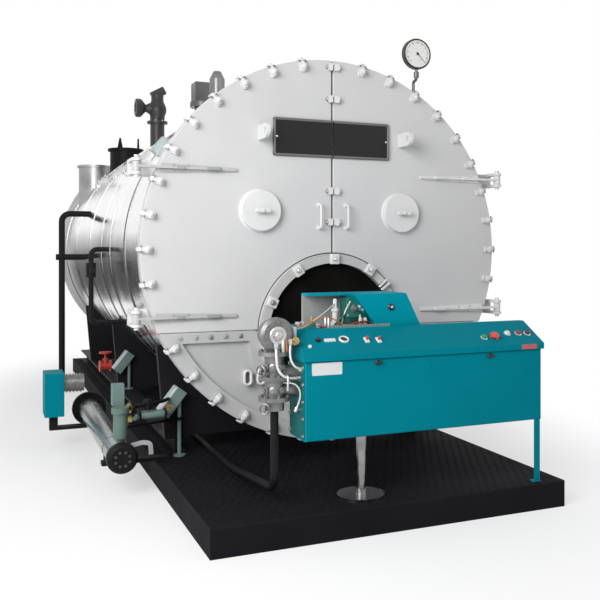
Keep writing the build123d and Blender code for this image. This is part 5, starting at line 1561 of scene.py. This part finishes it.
    def _plugs(self) -> None:
        """Sets plugs, two small hand valves and a lever round the casting, and a machined ring on its bonnet."""
        x, y = CASTING
        ring = turned([
            (0.026, -0.001), (0.046, -0.001), (0.046, 0.006), (0.042, 0.009), (0.030, 0.009), (0.026, 0.006),
        ], 32)
        cap = bolt_head(0.020, 0.018, 0.004)
        ring.joined(cap).at((x, BONNET_FRONT, AXIS_Z + BONNET_HEIGHT), FORWARD).piece("bonnet_ring", ZINC)
        a, h = np.meshgrid(np.radians((200.0, 245.0, 300.0)), (-0.620, -0.742))
        out = spots(np.cos(a), np.sin(a), 0.0)
        seats = spots(x + 0.050 * np.cos(a), y + 0.050 * np.sin(a), AXIS_Z + h)
        boss = peg(0.021, 0.0, 0.010, 18, (0.014, 0.013)).joined(bolt_head(0.0125, 0.012).at((0.0, 0.0, 0.012)))
        boss.repeated(seats, out, UPWARD).piece("casting_plugs", DOME_GREY, slot="block_grey")
        stem = turned([(0, 0), (0.012, 0), (0.012, 0.026), (0.006, 0.030), (0.006, 0.052), (0, 0.052)], 12)
        hoop = spots(*ring_profile(0.026, 24).T, 0.046)
        spoke = slab(0.052, 0.007, 0.002, [(0.0, 0.043), (0.0, 0.048)], 2)
        valve = stem.joined(carried(hoop, ring_profile(0.0045, 8), UPWARD, True), spoke)
        places = np.array([(-0.742, -0.890, 0.900), (-0.735, -0.905, 0.705)])
        ways = np.array([(-0.75, -0.66, 0.0), (-0.6, -0.8, 0.0)])
        valve.repeated(places, ways, UPWARD).piece("hand_valves", CAST_GREY, slot="block_grey")
        arm = smooth_path([(-0.655, -0.935, 0.880), (-0.650, -0.985, 0.880), (-0.655, -0.992, 0.800)], 0.020)
        carried(arm, ring_profile(0.006), RIGHTWARD).piece("valve_lever", BRIGHT_STEEL)

    def _tray(self) -> None:
        """Lays a row of grey-green terminal blocks along the desk's shelf."""
        seats = spots(np.arange(*self.blocks), -0.789, AXIS_Z - 0.440)
        block = slab(0.0145, 0.018, 0.002, [(0.0, 0.0), (0.0, 0.012), (0.003, 0.016)], 2)
        block.repeated(seats, UPWARD, RIGHTWARD).piece("terminal_blocks", ACTUATOR_GREEN, slot="box_pale")


@dataclass
class OilHeater:
    """The hoops, bolts, oil line and actuator lids of the oil heater at the left."""

    x: float = -1.325
    z: float = 0.260
    radius: float = 0.080
    straps: tuple[float, ...] = (0.45, 1.70)
    cap_front: float = 0.110
    flange_rear: float = 1.940
    actuators: tuple[float, ...] = (0.500, 2.647)

    def build(self) -> None:
        """Adds the hoops over the heater, the bolts of its two ends, the actuators' lids and the oil line."""
        angle = np.linspace(-20.0, 200.0, 45)
        hoops = []
        for y in self.straps:
            path = circle_points(self.radius, angle, y, self.z - AXIS_Z)
            path[:, 0] += self.x
            hoops.append(carried(path, flat_profile(0.034, -0.001, 0.003), radial(angle)))
        hoops[0].joined(*hoops[1:]).piece("heater_hoops", BAND_STEEL, slot="band_steel")
        turn = (np.arange(8) + 0.5) * 45.0
        rear = circle_points(0.112, turn, self.flange_rear, self.z - AXIS_Z)
        front = circle_points(0.044, turn, self.cap_front, self.z - AXIS_Z)
        rear[:, 0] += self.x
        front[:, 0] += self.x
        bolt_head(0.012, 0.010, 0.002).repeated(rear, BACKWARD, UPWARD).piece("heater_bolts", ZINC)
        heads = bolt_head(0.0095, 0.009).repeated(front, FORWARD, UPWARD)
        heads.piece("heater_cap_bolts", VALVE_IRON, slot="fitting_black")
        self._lids()
        self._line()

    def _line(self) -> None:
        """Dresses the oil line: a sleeve between flanges, a return pipe, brass unions, a brace and a grey bracket."""
        sleeve = turned([(0, 0), (0.022, 0), (0.027, 0.010), (0.027, 0.140), (0.022, 0.150), (0, 0.150)], 20)
        sleeve.at((-1.185, 0.325, 0.480), RIGHTWARD, UPWARD).piece("line_sleeve", ACTUATOR_GREEN, slot="box_pale")
        flange = peg(0.036, 0.0, 0.010, 20, (0.033, 0.012))
        flow = np.array([0.245, 0.100, 0.012])
        start = np.array([-1.285, 0.240, 0.544])
        on_pipe = [start + share * flow for share in (0.12, 0.52, 0.60)]
        seats = np.array([(-1.198, 0.325, 0.480), (-1.034, 0.325, 0.480), *on_pipe])
        ways = np.array([RIGHTWARD, RIGHTWARD, flow, flow, flow])
        pipe = smooth_path([tuple(start), tuple(start + flow), (-0.984, 0.452, 0.548)], 0.045)
        back = carried(pipe, ring_profile(0.012, 12), UPWARD)
        back.joined(flange.repeated(seats, ways, UPWARD)).piece("return_pipe", FRAME_BLACK, slot="fitting_black")
        union = bolt_head(0.023, 0.026, 0.004)
        ends = np.array([(-1.284, 0.215, 0.480), (-0.981, 0.440, 0.480), (-1.268, 0.247, 0.545)])
        turns = np.array([RIGHTWARD, FORWARD, flow])
        union.repeated(ends, turns, UPWARD).piece("line_unions", BRASS, slot="pipe_brass")
        brace = np.array([(-1.290, 0.222, 0.432), (-0.902, 0.498, 0.404)])
        clip = turned([(0.0125, -0.012), (0.019, -0.012), (0.019, 0.012), (0.0125, 0.012)], 16)
        carried(brace, ring_profile(0.009), UPWARD).joined(clip.at((-0.900, 0.500, 0.404))).piece(
            "filter_brace", FRAME_BLACK, slot="frame_black"
        )
        bends = [(-1.262, 0.190, 0.322), (-1.196, 0.176, 0.340), (-1.150, 0.168, 0.332), (-1.146, 0.168, 0.262)]
        arm = smooth_path(bends, 0.02)
        carried(arm, flat_profile(0.028, -0.002, 0.004), FORWARD).piece("heater_arm", PANEL_GREY)

    def _lids(self) -> None:
        """Sets a pale lid with four screws on the sloping face of each actuator."""
        out, along, across = (np.array(way) for way in ((-0.788, 0.0, 0.616), (0.616, 0.0, 0.788), BACKWARD))
        middle = spots(-0.950, np.array(self.actuators), 0.520) + 0.037 * out
        lid = slab(0.094, 0.196, 0.006, [(0.0, -0.002), (0.0, 0.008), (0.004, 0.012)])
        lid.repeated(middle, out, across).piece("actuator_lids", BOX_PALE, slot="box_pale")
        corners = [
            middle + 0.011 * out + u * across + v * along for u in (-0.036, 0.036) for v in (-0.086, 0.086)
        ]
        bolt_head(0.005, 0.004).repeated(np.concatenate(corners), out, across).piece("actuator_screws", ZINC)


def dress_nodes() -> None:
    """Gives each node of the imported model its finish."""
    for name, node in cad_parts.items():
        finish = NODE_FINISH[name].material()
        node.data.materials.clear()
        node.data.materials.append(finish)
        LOG.info("node %s: %s", name, finish.name)


def main() -> None:
    """Builds the studio and each sub-assembly in turn."""
    logging.basicConfig(level=logging.INFO, format="%(message)s")
    Studio().build()
    for cord in CORDS:
        cord.build()
    dress_nodes()
    for group in (
        Plinth(), ShellCladding(), FrontRim(), FrontDoor(-1.0, Body.LEFT_DOOR), FrontDoor(1.0, Body.RIGHT_DOOR),
        TubePlate(), LowerFront(), PressureGauge(), TopFittings(), ControlDesk(), BurnerHood(), BurnerHead(),
        OilHeater(),
    ):
        group.build()


if __name__ == "__main__":
    main()
